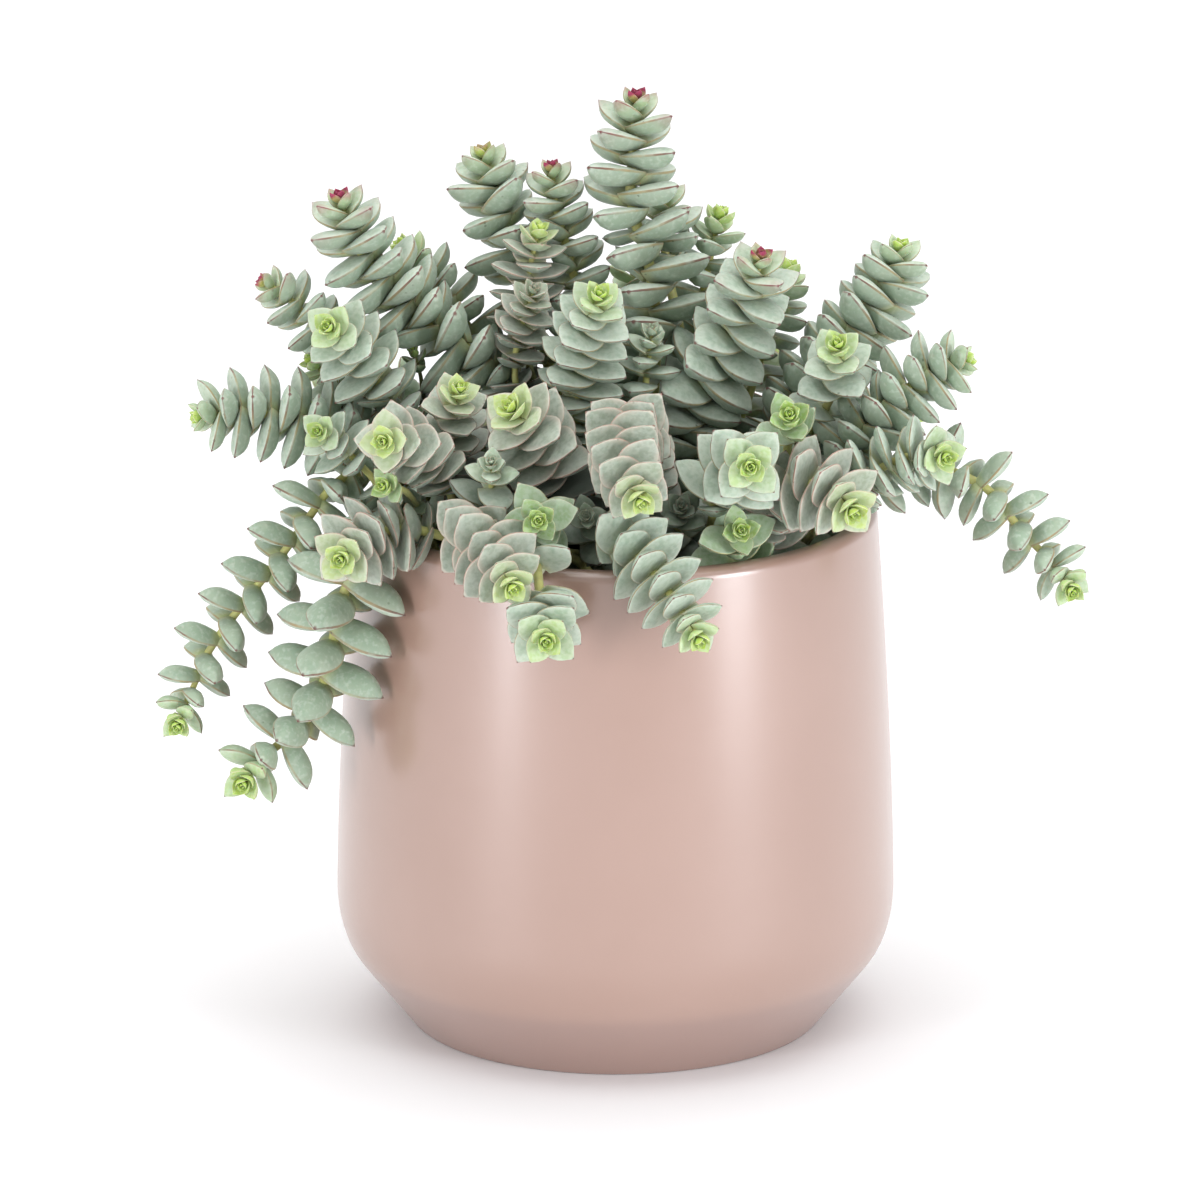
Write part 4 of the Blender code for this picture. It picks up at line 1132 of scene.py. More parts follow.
    def next_pair(self, stem: Stem, along: float, up: Vector, out: Vector, length: float,
                  lift: float, chance: random.Random) -> Pair:
        """Plans a pair a quarter turn on from the one above.

        Args:
            stem: The stem.
            along: The pair's length from the tip.
            up: The direction in which the stem grows at the pair above.
            out: The direction of a leaf of the pair above.
            length: The leaves' length.
            lift: The leaves' lift in degrees.
            chance: The draws that vary the turn.

        Returns:
            The pair, without leaves.
        """
        route = self.lines[stem.name]
        leaf = Leaf(length, stem.habit.half_width * length, stem.habit.thickness * length, lift)
        up_here = route.toward_tip(along)
        out = up.rotation_difference(up_here) @ out
        out = (out - up_here * out.dot(up_here)).normalized()
        turn = 90 + chance.uniform(-PLAN.turn_spread, PLAN.turn_spread)
        out = Quaternion(up_here, math.radians(turn)) @ out
        radius = min(PLAN.stem_radius_per_leaf * stem.leaf,
                     PLAN.stem_per_half_width * leaf.half_width)
        return Pair(route.place(along), out, up_here.cross(out), up_here, leaf, radius, along)

    def fitted(self, pair: Pair, owner: str, turns: tuple, fits: tuple,
               stunted_at: int) -> Optional[Pair]:
        """Finds the turn, lift and size that keep both leaves of a pair clear.

        Args:
            pair: The pair as planned.
            owner: The name of its stem.
            turns: The turns to try, in degrees.
            fits: The lifts and sizes to try for each leaf.
            stunted_at: The number of the fit that only one of the two leaves may take.

        Returns:
            The pair with its leaves, or None where it doesn't fit.
        """
        best = None
        for cost, turn in enumerate(turns):
            turned = pair.turned(turn)
            stunted = 0
            for side in (1, -1):
                for number, (lift, size) in enumerate(fits):
                    leaf = pair.leaf.changed(lift, size)
                    if self.room.clear(closed_leaf(turned, leaf, side, PLAN.probe_swell), owner):
                        turned.leaves.append(leaf)
                        cost += number
                        stunted += number == stunted_at
                        break
            if len(turned.leaves) == 2 and stunted < 2 and (best is None or cost < best[0]):
                best = (cost, turned)
        return best[1] if best else None

    def settle(self, stem: Stem, pair: Optional[Pair]) -> None:
        """Gives a fitted pair to its stem and its room to its leaves.

        Args:
            stem: The stem.
            pair: The pair with its leaves, or None where none fitted.
        """
        if pair is None:
            return
        self.pairs[stem.name].append(pair)
        for side, leaf in zip((1, -1), pair.leaves):
            self.room.add(closed_leaf(pair, leaf, side), stem.name)

    def place_solid_pairs(self, pot: Solid) -> None:
        """Places the pairs that the solids have, those nearest the tips first.

        Args:
            pot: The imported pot, which leaves keep clear of.
        """
        self.room.add(pot, "pot")
        chance = random.Random(PLAN.seed)
        plans = {stem.name: self.planned_pairs(stem, chance) for stem in self.stems}
        for stem in self.stems:
            radius = PLAN.stem_radius_per_leaf * stem.leaf * PLAN.guard_swell
            self.room.add(guard_tube(self.lines[stem.name], plans[stem.name][0], radius), stem.name)
        fits = (*PLAN.leaf_fits, PLAN.stunted_leaf)
        for number in range(max(stem.pairs for stem in self.stems)):
            for stem in self.stems:
                if number < stem.pairs:
                    pair = plans[stem.name][number]
                    found = self.fitted(pair, stem.name, PLAN.pair_turns, fits, len(PLAN.leaf_fits))
                    self.settle(stem, found)

    def place_lower_pairs(self) -> None:
        """Carries the leaves on down each stem, wherever there is room for them."""
        chance = random.Random(FILLING.seed)
        growing = {stem.name: self.pairs[stem.name][-1] for stem in self.stems}
        active = list(self.stems)
        while active:
            still = []
            for stem in active:
                above = growing[stem.name]
                along = above.along + stem.gap * chance.uniform(*FILLING.lower_gaps)
                if along > self.lines[stem.name].length() - FILLING.lowest_above_root:
                    continue
                length = stem.leaf * FILLING.lower_size * chance.uniform(*PLAN.length_spread)
                spread = chance.uniform(-FILLING.lower_spread, FILLING.lower_spread)
                lift = stem.habit.lift + spread
                pair = self.next_pair(stem, along, above.up, above.out, length, lift, chance)
                growing[stem.name] = pair
                found = self.fitted(pair, stem.name, FILLING.lower_turns, FILLING.lower_fits, -1)
                self.settle(stem, found)
                still.append(stem)
            active = still

    def shade(self, place: Vector, owner: str) -> float:
        """Finds a place's painted shade: how deep it lies behind other stems' pairs further out.

        Args:
            place: The place in millimetres.
            owner: The name of its stem.

        Returns:
            The shade, from 0 in the open to 1.
        """
        if self.tree is None:
            self.owners = [name for name, pairs in self.pairs.items() for _ in pairs]
            self.tree = KDTree(len(self.owners))
            for number, pair in enumerate(pair for pairs in self.pairs.values() for pair in pairs):
                self.tree.insert(pair.place, number)
            self.tree.balance()
        outward = (place - FILLING.crown_middle).normalized()
        cover = 0.0
        for other, number, distance in self.tree.find_range(place, FILLING.shade_reach):
            if self.owners[number] != owner:
                cover += max(0.0, (other - place).dot(outward) / distance - FILLING.shade_facing)
        share = (cover - FILLING.shade_from) / (FILLING.shade_to - FILLING.shade_from)
        return min(1.0, max(0.0, share))

    def heart_pairs(self, stem: Stem, chance: random.Random) -> list[Pair]:
        """Nests the small pairs in a stem's tip.

        Args:
            stem: The stem.
            chance: The draws that vary its leaves.

        Returns:
            The pairs, from the outermost in.
        """
        above = self.pairs[stem.name][0]
        lifts = FILLING.heart_rosette_lifts if stem.rosette else FILLING.heart_bud_lifts
        bud = 1.0 if stem.rosette else FILLING.bud_share
        hearts = []
        place, along = above.place.copy(), above.along
        out = above.out
        spread, leaf_spread = FILLING.heart_lift_spread, FILLING.heart_leaf_lift_spread
        for number, share in enumerate(FILLING.heart_lengths):
            length = stem.leaf * share * bud
            place = place + above.up * (stem.gap * FILLING.heart_gaps[number] * bud)
            turn = 90 + chance.uniform(-FILLING.heart_turn_spread, FILLING.heart_turn_spread)
            out = Quaternion(above.up, math.radians(turn)) @ out
            lift = lifts[number] + chance.uniform(-spread, spread)
            half_width, thickness = FILLING.heart_half_width, FILLING.heart_thickness
            leaf = Leaf(length, length * half_width, length * thickness, lift)
            radius = above.radius * share
            pair = Pair(place, out, above.up.cross(out), above.up, leaf, radius, along)
            for _ in range(2):
                more = chance.uniform(-leaf_spread, leaf_spread)
                pair.leaves.append(leaf.changed(more, chance.uniform(*FILLING.heart_leaf_sizes)))
            pair.age = FILLING.heart_age - FILLING.heart_age_step * (number + 1)
            hearts.append(pair)
        return hearts


@dataclass(frozen=True)
class LeafForm:
    """A leaf's outline and section, in shares of its length, half width and thickness."""

    base_width: float
    bluntness: float
    crown: float
    widest_at: float = 0.42
    belly_at: float = 0.55
    belly_bluntness: float = 0.62
    base_depth: float = 0.42
    roundness: float = 1.9
    crown_fullness: float = 0.6
    crown_at_stem: float = 0.55
    belly: float = 1.0
    rim: float = 0.09
    cup: float = 0.0
    curl: float = 0.0

    def width(self, reach: float) -> float:
        """Finds how wide the leaf is.

        Args:
            reach: The share of its length.

        Returns:
            The share of its half width.
        """
        if reach < self.widest_at:
            turn = math.sin(math.pi / 2 * max(reach, 0.0) / self.widest_at)
            return self.base_width + (1.0 - self.base_width) * turn
        share = (reach - self.widest_at) / (1.0 - self.widest_at)
        return (1.0 - share ** 2) ** self.bluntness

    def depth(self, reach: float) -> float:
        """Finds how deep the leaf's belly is.

        Args:
            reach: The share of its length.

        Returns:
            The share of its thickness.
        """
        if reach < self.belly_at:
            turn = math.sin(math.pi / 2 * max(reach, 0.0) / self.belly_at)
            return self.base_depth + (1.0 - self.base_depth) * turn
        share = (reach - self.belly_at) / (1.0 - self.belly_at)
        return (1.0 - share ** 2) ** self.belly_bluntness

    def swelling(self, reach: float) -> float:
        """Finds how far the upper face swells, which leaves a saddle at the stem.

        Args:
            reach: The share of the leaf's length.

        Returns:
            The share of its thickness.
        """
        inside = min(max(reach, 0.0), 1.0)
        arch = (4.0 * inside * (1.0 - inside)) ** self.crown_fullness
        return self.crown * arch * self.crown_at_stem * (1.0 + inside)


# The thick leaves of open shoots, the close scales of dense ones, the plump leaves of trailing
# ones, the petals of young pairs and shoots, and the cupped leaves of every heart
BUTTON = LeafForm(base_width=0.84, widest_at=0.4, bluntness=0.8, base_depth=0.8, roundness=2.3,
                  crown=0.46, belly=0.96, cup=0.03, curl=0.03)
SCALE = LeafForm(base_width=0.86, bluntness=0.84, base_depth=0.7, crown=0.3, rim=0.1, cup=0.05,
                 curl=0.05)
PLUMP = LeafForm(base_width=0.7, bluntness=0.8, base_depth=0.7, roundness=2.2, crown=0.52,
                 belly=0.95)
PETAL = LeafForm(base_width=0.78, bluntness=0.88, crown=0.14, rim=0.13, cup=0.14, curl=0.09)
CUPPED = LeafForm(base_width=0.8, widest_at=0.44, bluntness=0.94, crown=-0.1, rim=0.18, cup=0.3,
                  curl=0.15)

FORMS = {Finishes.GREY_GREEN: BUTTON, Finishes.CREAM_GREY: SCALE, Finishes.BLUE_GREEN: PLUMP,
         Finishes.LIME: PETAL}

# How red each tip is, for the stems whose buds have coloured in the light
BLUSHES = {"spire": 1.0, "red_left": 1.0, "red_mid": 0.95, "red_right": 0.8, "pink_left": 0.35,
           "pink_outer": 0.7, "spire_twin": 0.6}

# The shoots that grow in the shade, whose leaves are grey to the tip
SHADED = ("grey_pair", "pebbles", "grey_right", "grey_small", "grey_knot")


@dataclass(frozen=True)
class Corner:
    """Where one corner of a leaf's mesh lies on the leaf."""

    reach: float
    ring: int
    side: float
    face: int
    margin: float


@dataclass(frozen=True)
class LeafMesher:
    """Shapes spheres into leaves: a sphere's poles are the tip and the stem's end.

    A multiple of four segments, turned by half of one, leaves a narrow strip along each margin.
    """

    around: int = 16
    rings: int = 9
    spacing_power: float = 1.35
    base_overlap: float = 0.05
    tip_point: float = 0.05
    rim_from: float = 0.99
    margin_share: float = 0.45
    margin_power: int = 4

    def template(self, layer_names: Iterable[str]) -> bpy.types.Mesh:
        """Makes the sphere that every leaf starts from.

        Args:
            layer_names: The names of the values that its vertices carry.

        Returns:
            The sphere.
        """
        shape = bmesh.new()
        half_step = Matrix.Rotation(math.pi / self.around, 4, 'Z')
        bmesh.ops.create_uvsphere(shape, u_segments=self.around, v_segments=self.rings, radius=1.0,
                                  matrix=half_step)
        for name in layer_names:
            shape.verts.layers.float.new(name)
        mesh = bpy.data.meshes.new("leaf template")
        shape.to_mesh(mesh)
        shape.free()
        return mesh

    def corner(self, place: Vector) -> Corner:
        """Finds where a vertex of the sphere goes on the leaf.

        Args:
            place: The vertex's place on the sphere.

        Returns:
            The leaf's corner.
        """
        ring = round(math.acos(max(-1.0, min(1.0, place.z))) / math.pi * self.rings)
        if ring == 0:
            return Corner(1.0 + self.tip_point, 0, 0.0, 0, 1.0)
        if ring == self.rings:
            return Corner(-self.base_overlap, ring, 0.0, 0, 0.0)
        reach = 1.0 - (ring / (self.rings - 1)) ** self.spacing_power
        angle = math.atan2(place.y, place.x)
        rim_angle = math.pi / self.around
        share = (abs(angle) - rim_angle) / (math.pi - 2 * rim_angle)
        side = math.cos(math.pi * share)
        face = 1 if angle > 0 else -1
        margin = self.margin_share * abs(side) ** self.margin_power
        if abs(side) > self.rim_from:
            margin = 1.0
        return Corner(reach, ring, side, face, margin)


MESHER = LeafMesher()


class Shoot:
    """A fine leafy stem: its stalk, its grown pairs and the heart at its tip."""

    stalk_sides: int = 8
    stalk_per_leaf: float = 0.12
    stalk_step: float = 3.0
    fewest_steps: int = 4
    stalk_young: float = 0.55
    stalk_growth: float = 5.0
    petal_age: float = 0.5
    shaded_age: float = 0.82
    roll_spread: float = 0.09
    curl_spread: float = 0.03
    blush_reach: float = 1.75

    def __init__(self, stem: Stem, planting: Planting, template: bpy.types.Mesh,
                 chance: random.Random) -> None:
        """Takes the stem's places from the planting.

        Args:
            stem: The stem.
            planting: The planting, whose pairs are all placed.
            template: The sphere that every leaf starts from.
            chance: The draws that vary the leaves.
        """
        self.stem = stem
        self.planting = planting
        self.line = planting.lines[stem.name]
        self.grown = planting.pairs[stem.name]
        self.hearts = planting.heart_pairs(stem, chance)
        self.template = template
        self.corners = [MESHER.corner(vertex.co) for vertex in template.vertices]
        self.chance = chance
        self.shape = bmesh.new()
        for name in LEAF_VALUES:
            self.shape.verts.layers.float.new(name)

    def paint(self, vert: bmesh.types.BMVert, **values: float) -> None:
        """Gives a vertex its values."""
        for name, value in values.items():
            vert[self.shape.verts.layers.float[name]] = value

    def add_stalk(self) -> None:
        """Extrudes a round stalk down the stem's line, from its heart to the bottom of its hole."""
        start = self.grown[0].along
        length = self.line.length()
        count = max(self.fewest_steps, round((length - start) / self.stalk_step))
        stops = [start + (length - start) * number / count for number in range(count + 1)]
        made = bmesh.ops.create_circle(self.shape, cap_ends=True, segments=self.stalk_sides,
                                       radius=MM)
        ring = made["verts"]
        up = Vector((0, 0, 1))
        self.place_ring(ring, up, self.line.toward_tip(start), Vector(), self.line.place(start),
                        self.girth(0))
        edges = list({edge for vert in ring for edge in vert.link_edges})
        for number, stop in enumerate(stops[1:], 1):
            added = bmesh.ops.extrude_edge_only(self.shape, edges=edges)["geom"]
            ring = [item for item in added if isinstance(item, bmesh.types.BMVert)]
            edges = [item for item in added if isinstance(item, bmesh.types.BMEdge)
                     and all(vert in ring for vert in item.verts)]
            growth = self.girth(number / count) / self.girth((number - 1) / count)
            before = stops[number - 1]
            self.place_ring(ring, self.line.toward_tip(before), self.line.toward_tip(stop),
                            self.line.place(before), self.line.place(stop), growth)
        bmesh.ops.holes_fill(self.shape, edges=edges)
        bmesh.ops.recalc_face_normals(self.shape, faces=self.shape.faces)
        for vert in self.shape.verts:
            # The stalk takes the painted shade of the crown around it
            deep = self.planting.shade(vert.co / MM, self.stem.name)
            self.paint(vert, age=1.0, reach=0.5, stalk=1.0, deep=deep)

    def girth(self, share: float) -> float:
        """Finds how thick the stalk is.

        Args:
            share: The share of its length from the tip.

        Returns:
            Its radius there in millimetres.
        """
        grown = min(1.0, share * self.stalk_growth)
        thickness = self.stalk_young + (1.0 - self.stalk_young) * grown
        return self.stem.leaf * self.stalk_per_leaf * thickness

    def place_ring(self, ring: list[bmesh.types.BMVert], old_up: Vector, up: Vector,
                   old_place: Vector, place: Vector, growth: float) -> None:
        """Turns, grows and moves a ring of the stalk from one place on the line to the next.

        Args:
            ring: The ring's vertices.
            old_up: The stalk's direction at the old place.
            up: Its direction at the new place.
            old_place: The old place in millimetres.
            place: The new place in millimetres.
            growth: How many times wider the ring becomes.
        """
        turn = old_up.rotation_difference(up).to_matrix().to_4x4()
        away, back = Matrix.Translation(place * MM), Matrix.Translation(old_place * -MM)
        step = away @ turn @ Matrix.Scale(growth, 4) @ back
        bmesh.ops.transform(self.shape, matrix=step, verts=ring)

    def add_leaf(self, pair: Pair, leaf: Leaf, side: int, form: LeafForm) -> None:
        """Adds one leaf of a pair.

        Args:
            pair: The pair.
            leaf: The leaf.
            side: Which of the two it is, 1 or -1.
            form: Its outline and section.
        """
        lift = math.radians(leaf.lift)
        away = pair.out * side
        along = away * math.cos(lift) + pair.up * math.sin(lift)
        over = pair.up * math.cos(lift) - away * math.sin(lift)
        across = pair.across * side
        inset = pair.radius * PLAN.hinge_per_radius
        start = pair.place + away * inset - along * inset
        length = leaf.length + inset
        tone = self.chance.uniform(-1.0, 1.0)
        roll = self.chance.uniform(-self.roll_spread, self.roll_spread)
        self.chance.random()  # Passed over, so that the later draws keep their places
        curl = form.curl + self.chance.uniform(-self.curl_spread, self.curl_spread)
        blush = BLUSHES.get(self.stem.name, 0.0)
        blush *= min(1.0, max(0.0, self.blush_reach - pair.age * self.blush_reach))
        age = max(pair.age, self.shaded_age) if self.stem.name in SHADED else pair.age
        # How far the pair lies in painted shade
        deep = self.planting.shade(pair.place, self.stem.name)
        first = len(self.shape.verts)
        self.shape.from_mesh(self.template)
        self.shape.verts.ensure_lookup_table()
        for vert, corner in zip(self.shape.verts[first:], self.corners):
            reach = corner.reach
            wide, swell = 0.0, 0.0
            if corner.ring > 0:
                wide = form.width(reach) * leaf.half_width
                swell = form.swelling(reach) if corner.face > 0 else -form.belly * form.depth(reach)
                swell *= 1.0 - abs(corner.side) ** form.roundness
            height = leaf.thickness * (swell + corner.face * form.rim / 2)
            height += form.cup * wide * corner.side ** 2 + curl * length * reach ** 2
            height += roll * wide * corner.side
            place = start + along * (length * reach) + across * (wide * corner.side) + over * height
            vert.co = place * MM
            self.paint(vert, age=age, tone=tone, reach=reach, margin=corner.margin,
                       under=0.5 - 0.5 * corner.face, blush=blush, deep=deep)

    def build(self) -> bpy.types.Object:
        """Builds the whole shoot.

        Returns:
            The finished object.
        """
        self.add_stalk()
        form = FORMS[self.stem.habit.finish]
        for pair in self.grown:
            shape = PETAL if pair.age < self.petal_age and form is not SCALE else form
            for side, leaf in zip((1, -1), pair.leaves):
                self.add_leaf(pair, leaf, side, shape)
        for pair in self.hearts:
            for side, leaf in zip((1, -1), pair.leaves):
                self.add_leaf(pair, leaf, side, CUPPED)
        bmesh.ops.recalc_face_normals(self.shape, faces=self.shape.faces)
        return mesh_piece("shoot_" + self.stem.name, self.shape)


def mesh_piece(name: str, shape: bmesh.types.BMesh) -> bpy.types.Object:
    """Makes a smooth object from a finished bmesh, and frees the bmesh.

    Args:
        name: The object's name.
        shape: The bmesh.

    Returns:
        The object.
    """
    mesh = bpy.data.meshes.new(name)
    shape.to_mesh(mesh)
    shape.free()
    mesh.shade_smooth()
    piece = bpy.data.objects.new(name, mesh)
    bpy.context.scene.collection.objects.link(piece)
    return piece


def turned(profile: list[tuple[float, float]], steps: int) -> bmesh.types.BMesh:
    """Spins a profile of (radius, height) in millimetres into a closed body.

    Args:
        profile: Points from the axis round to the axis.
        steps: How many steps make the whole turn.

    Returns:
        The turned body, facing out.
    """
    shape = bmesh.new()
    verts = [shape.verts.new((radius * MM, 0.0, height * MM)) for radius, height in profile]
    edges = [shape.edges.new(pair) for pair in zip(verts, verts[1:])]
    bmesh.ops.spin(shape, geom=verts + edges, cent=(0, 0, 0), axis=(0, 0, 1), angle=2 * math.pi,
                   steps=steps, use_merge=True, dvec=(0, 0, 0))
    bmesh.ops.remove_doubles(shape, verts=shape.verts, dist=MERGE_DISTANCE)
    bmesh.ops.recalc_face_normals(shape, faces=shape.faces)
    return shape


def arc(centre: tuple[float, float], radius: float, start: float, end: float, steps: int) -> list:
    """Finds the points of an arc.

    Args:
        centre: Its centre.
        radius: Its radius.
        start: Where it starts, in degrees from outward towards up.
        end: Where it ends.
        steps: How many parts it has.

    Returns:
        The points.
    """
    points = []
    for number in range(steps + 1):
        angle = math.radians(start + (end - start) * number / steps)
        points.append((centre[0] + radius * math.cos(angle), centre[1] + radius * math.sin(angle)))
    return points


@dataclass(frozen=True)
class CoverPot:
    """The turned ceramic cover pot with its soft edges."""

    steps: int = 144
    outer_round: float = 2.6
    inner_round: float = 1.1
    foot_round: float = 1.2
    floor_corner: float = 2.0
    softening: float = 2.2
    softening_samples: tuple = (-1.0, -0.5, 0.0, 0.5, 1.0)
    rise: float = 2.0
    foot_tuck: float = 0.4
    foot_gap: float = 0.6
    lip_gap: float = 0.4
    inside_heights: tuple = (116.0, 90.0, 60.0, 36.0, 22.0, 9.0)

    def soft_radius(self, height: float) -> float:
        """Finds the outer radius, with the kink above the chamfer rounded off.

        Args:
            height: The height above the foot.

        Returns:
            The radius there.
        """
        reach = min(self.softening, height - self.foot_round, POT.height - height)
        samples = [POT.radius(height + reach * share) for share in self.softening_samples]
        return sum(samples) / len(samples)

    def wall(self, low: float, high: float) -> list[tuple[float, float]]:
        """Follows the outer wall.

        Args:
            low: The height where it starts.
            high: The height where it ends.

        Returns:
            Its points.
        """
        count = math.ceil((high - low) / self.rise)
        heights = [low + (high - low) * number / count for number in range(count + 1)]
        return [(self.soft_radius(height), height) for height in heights]

    def profile(self) -> list[tuple[float, float]]:
        """Draws the whole section, from under the foot out, up, over the lip and down inside.

        Returns:
            Its points of radius and height.
        """
        foot = POT.foot_radius
        lip_start = POT.height - self.outer_round
        outer = self.soft_radius(lip_start)
        inner = POT.rim_radius - POT.wall
        foot_middle = (foot - self.foot_round * self.foot_tuck, self.foot_round)
        foot_edge = arc(foot_middle, self.foot_round, -90, -36, 4)
        lip = arc((outer - self.outer_round, lip_start), self.outer_round, 0, 90, 9)
        inner_middle = (inner + self.inner_round, POT.height - self.inner_round)
        inner_lip = arc(inner_middle, self.inner_round, 90, 180, 5)
        inside = [(POT.radius(height) - POT.wall, height) for height in self.inside_heights]
        corner = [(inside[-1][0] - self.floor_corner, POT.floor)]
        wall = self.wall(foot_edge[-1][1] + self.foot_gap, lip_start - self.lip_gap)
        return [(0.0, 0.0), *foot_edge, *wall, *lip, *inner_lip, *inside, *corner, (0.0, POT.floor)]

    def build(self) -> bpy.types.Object:
        """Builds and glazes the pot.

        Returns:
            The finished object.
        """
        piece = mesh_piece("cover_pot", turned(self.profile(), self.steps))
        piece.data.materials.append(GlazeFinish().material(POT.height * MM, POT.chamfer_top * MM))
        return piece


@dataclass(frozen=True)
class SoilBed:
    """The soil: a turned body with an uneven top and loose crumbs."""

    steps: int = 96
    ring_step: float = 1.6
    depth: float = 22.0
    heave: float = 1.3
    sink: float = 0.6
    top_band: float = 0.5
    coarse: tuple = (0.7, 0.09)
    fine: tuple = (0.45, 0.45)
    fine_shift: Vector = Vector((7.0, 3.0, 1.0))
    crumbs: int = 320
    crumb_size: tuple = (0.5, 1.5)
    crumb_widths: tuple = (0.6, 1.0)
    crumb_heights: tuple = (0.4, 0.8)
    crumb_margin: float = 2.0
    seed: int = 5

    def level(self, place: Vector) -> float:
        """Finds how far the soil heaves.

        Args:
            place: A place in millimetres.

        Returns:
            The heave there in millimetres.
        """
        share, waves = self.coarse
        fine_share, fine_waves = self.fine
        fine = noise.noise(place * fine_waves + self.fine_shift)
        return self.heave * (share * noise.noise(place * waves) + fine_share * fine) - self.sink

    def build(self) -> bpy.types.Object:
        """Builds the soil.

        Returns:
            The finished object.
        """
        edge = POT.radius(POT.soil_top) - POT.wall - PLAN.clearance
        count = round(edge / self.ring_step)
        top = [(edge * number / count, POT.soil_top) for number in range(count + 1)]
        low = POT.soil_top - self.depth
        shape = turned([*top, (edge, low), (0.0, low)], self.steps)
        for vert in shape.verts:
            if vert.co.z > (POT.soil_top - self.top_band) * MM:
                vert.co.z += self.level(vert.co / MM) * MM
        chance = random.Random(self.seed)
        for _ in range(self.crumbs):
            reach = (edge - self.crumb_margin) * math.sqrt(chance.random())
            angle = chance.uniform(0.0, 2 * math.pi)
            place = Vector((reach * math.cos(angle), reach * math.sin(angle), POT.soil_top))
            place.z += self.level(place)
            size = chance.uniform(*self.crumb_size)
            wide, high = chance.uniform(*self.crumb_widths), chance.uniform(*self.crumb_heights)
            squash = Matrix.Diagonal((1.0, wide, high, 1.0))
            turn = Matrix.Rotation(chance.uniform(0, math.pi), 4, 'Z')
            matrix = Matrix.Translation(place * MM) @ turn @ squash @ Matrix.Scale(size * MM, 4)
            bmesh.ops.create_icosphere(shape, subdivisions=1, radius=1.0, matrix=matrix)
        piece = mesh_piece("potting_soil_bed", shape)
        piece.data.materials.append(SoilFinish().material())
        return piece


@dataclass(frozen=True)
class Softbox:
    """A soft area light that faces the pot.

    Its angle is its direction from the pot in degrees, from the camera's side to the right. Its
    distance from the pot's axis, its middle's height, its size and its aim are in metres, and its
    power is in watts.
    """

    name: str
    angle: float
    distance: float
    height: float
    size: tuple[float, float]
    power: float
    tint: Colour = (1.0, 1.0, 1.0)
    aim: Point = (0.0, 0.0, 0.1)

    def build(self) -> None:
        """Adds the light."""
        data = bpy.data.lights.new(self.name, 'AREA')
        data.shape = 'RECTANGLE'
        data.size, data.size_y = self.size
        data.energy = self.power
        data.color = self.tint
        light = bpy.data.objects.new(self.name, data)
        bpy.context.scene.collection.objects.link(light)
        turn = math.radians(self.angle)
        light.location = (self.distance * math.sin(turn), -self.distance * math.cos(turn),
                          self.height)
        look = Vector(self.aim) - light.location
        light.rotation_euler = look.to_track_quat('-Z', 'Y').to_euler()


COOL = (0.95, 0.96, 1.0)
SOFTBOXES = (
    Softbox("ceiling", 180.0, 0.3, 2.2, (3.2, 3.2), 54.0),
    Softbox("left strip", -44.0, 1.2, 0.26, (0.17, 0.5), 5.8, COOL),
    Softbox("right strip", 51.0, 1.2, 0.26, (0.3, 0.5), 7.4, COOL),
)


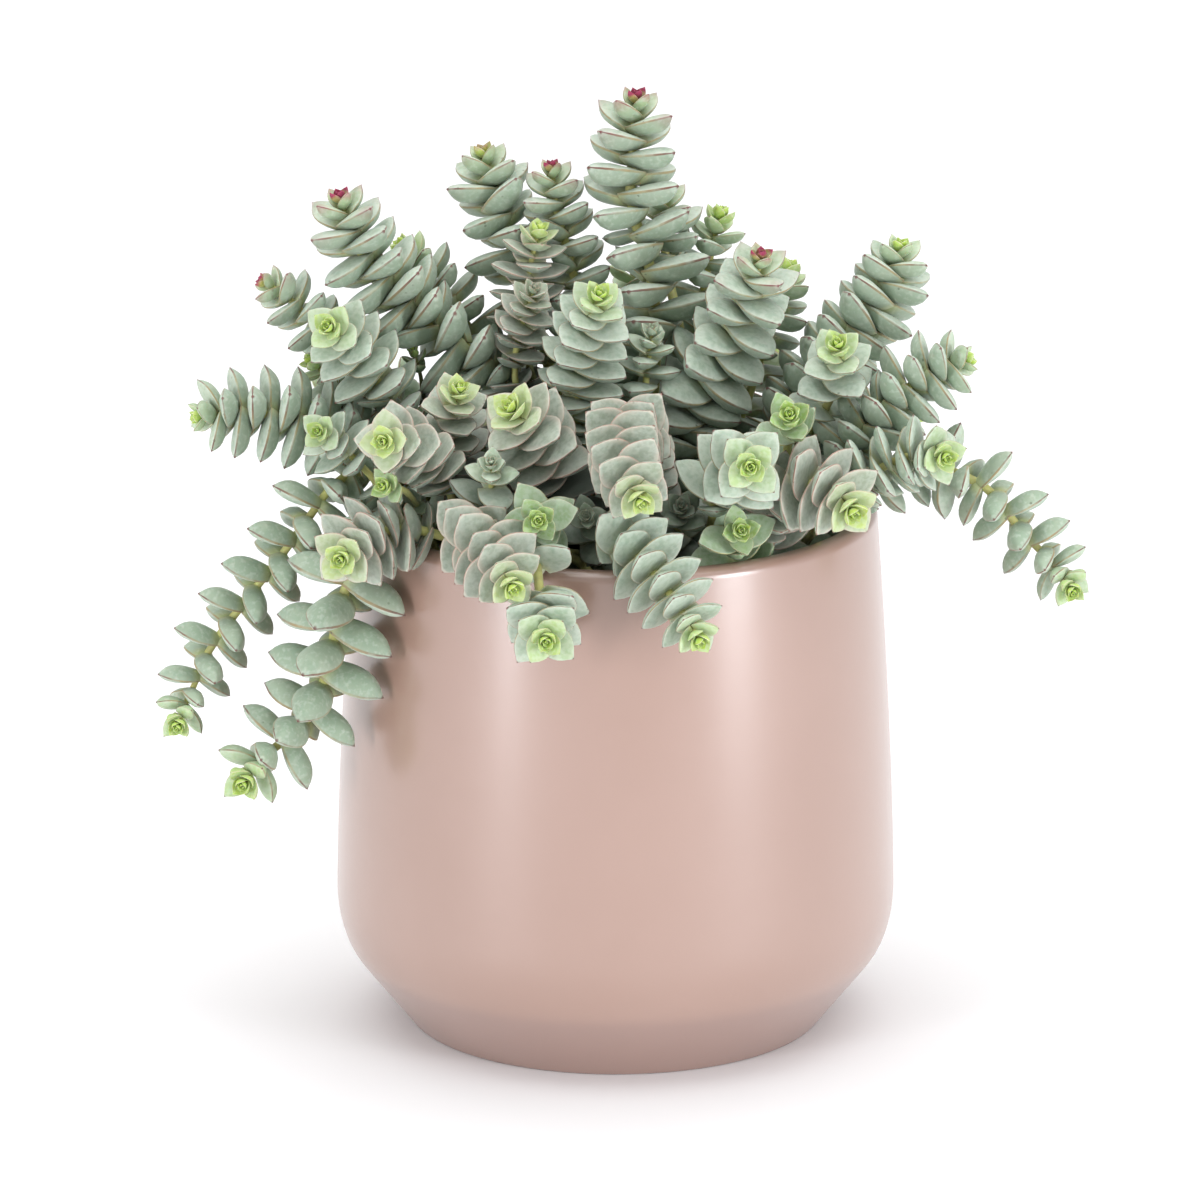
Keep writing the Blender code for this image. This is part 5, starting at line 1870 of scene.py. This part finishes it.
@dataclass(frozen=True)
class Studio:
    """The pale floor, the soft lights and the camera at the photograph's viewing angle."""

    camera_place: Point = (0.0, -1.9106, 0.6514)
    camera_aim: Point = (-0.0039, 0.0, 0.1070)
    lens: float = 239.13
    sensor: float = 36.0
    sight: float = 20.0
    floor_radius: float = 3.5
    floor_sides: int = 64
    floor_colour: Colour = (0.88, 0.88, 0.89)
    sky_strength: float = 0.66

    def add_camera(self) -> None:
        """Adds the camera."""
        data = bpy.data.cameras.new("camera")
        data.lens = self.lens
        data.sensor_width = self.sensor
        data.clip_end = self.sight
        camera = bpy.data.objects.new("camera", data)
        bpy.context.scene.collection.objects.link(camera)
        camera.location = self.camera_place
        look = Vector(self.camera_aim) - Vector(self.camera_place)
        camera.rotation_euler = look.to_track_quat('-Z', 'Y').to_euler()
        bpy.context.scene.camera = camera

    def add_floor(self) -> None:
        """Adds the plain pale floor."""
        shape = bmesh.new()
        bmesh.ops.create_circle(shape, cap_ends=True, segments=self.floor_sides,
                                radius=self.floor_radius)
        bmesh.ops.recalc_face_normals(shape, faces=shape.faces)
        if shape.faces[:][0].normal.z < 0:
            bmesh.ops.reverse_faces(shape, faces=shape.faces)
        floor = mesh_piece("studio_floor", shape)
        floor.data.materials.append(PlainFinish("pale studio floor", self.floor_colour).material())

    def add_lights(self) -> None:
        """Adds the sky, the ceiling and the two tall strips that draw the pot's highlights."""
        world = bpy.data.worlds.new("studio")
        bpy.context.scene.world = world
        world.use_nodes = True
        sky = world.node_tree.nodes["Background"]
        sky.inputs["Color"].default_value = (1.0, 1.0, 1.0, 1.0)
        sky.inputs["Strength"].default_value = self.sky_strength
        for softbox in SOFTBOXES:
            softbox.build()
        bpy.context.scene.view_settings.view_transform = 'Standard'

    def build(self) -> None:
        """Sets the whole studio up."""
        self.add_camera()
        self.add_floor()
        self.add_lights()


def hand_over(piece: bpy.types.Object, node: str) -> None:
    """Lets a finished piece ride on the part and stand for its node.

    Args:
        piece: The piece.
        node: The name of the node that it replaces.
    """
    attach(piece, "root")
    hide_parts(node)
    LOG.info("%s: %d faces, stands for %s", piece.name, len(piece.data.polygons), node)


def main() -> None:
    """Builds the studio, the pot, the soil and every shoot."""
    logging.basicConfig(level=logging.INFO, format="%(name)s: %(message)s")
    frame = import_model()
    Studio().build()
    hand_over(CoverPot().build(), "pot")
    hand_over(SoilBed().build(), "soil")
    shell = frame["nodes"]["pot"].data
    corners = [vertex.co / MM for vertex in shell.vertices]
    planting = Planting(STEMS)
    planting.place_solid_pairs((corners, [tuple(face.vertices) for face in shell.polygons]))
    LOG.info("%d pairs as in the solids", sum(len(pairs) for pairs in planting.pairs.values()))
    planting.place_lower_pairs()
    LOG.info("%d pairs with the lower ones", sum(len(pairs) for pairs in planting.pairs.values()))
    materials = {slot: finish.material() for slot, finish in LEAF_FINISHES.items()}
    template = MESHER.template(LEAF_VALUES)
    chance = random.Random(FILLING.seed)
    for stem in STEMS:
        piece = Shoot(stem, planting, template, chance).build()
        piece.data.materials.append(materials[stem.habit.finish])
        hand_over(piece, "stem_" + stem.name)
    bpy.data.meshes.remove(template)


if __name__ == "__main__":
    main()
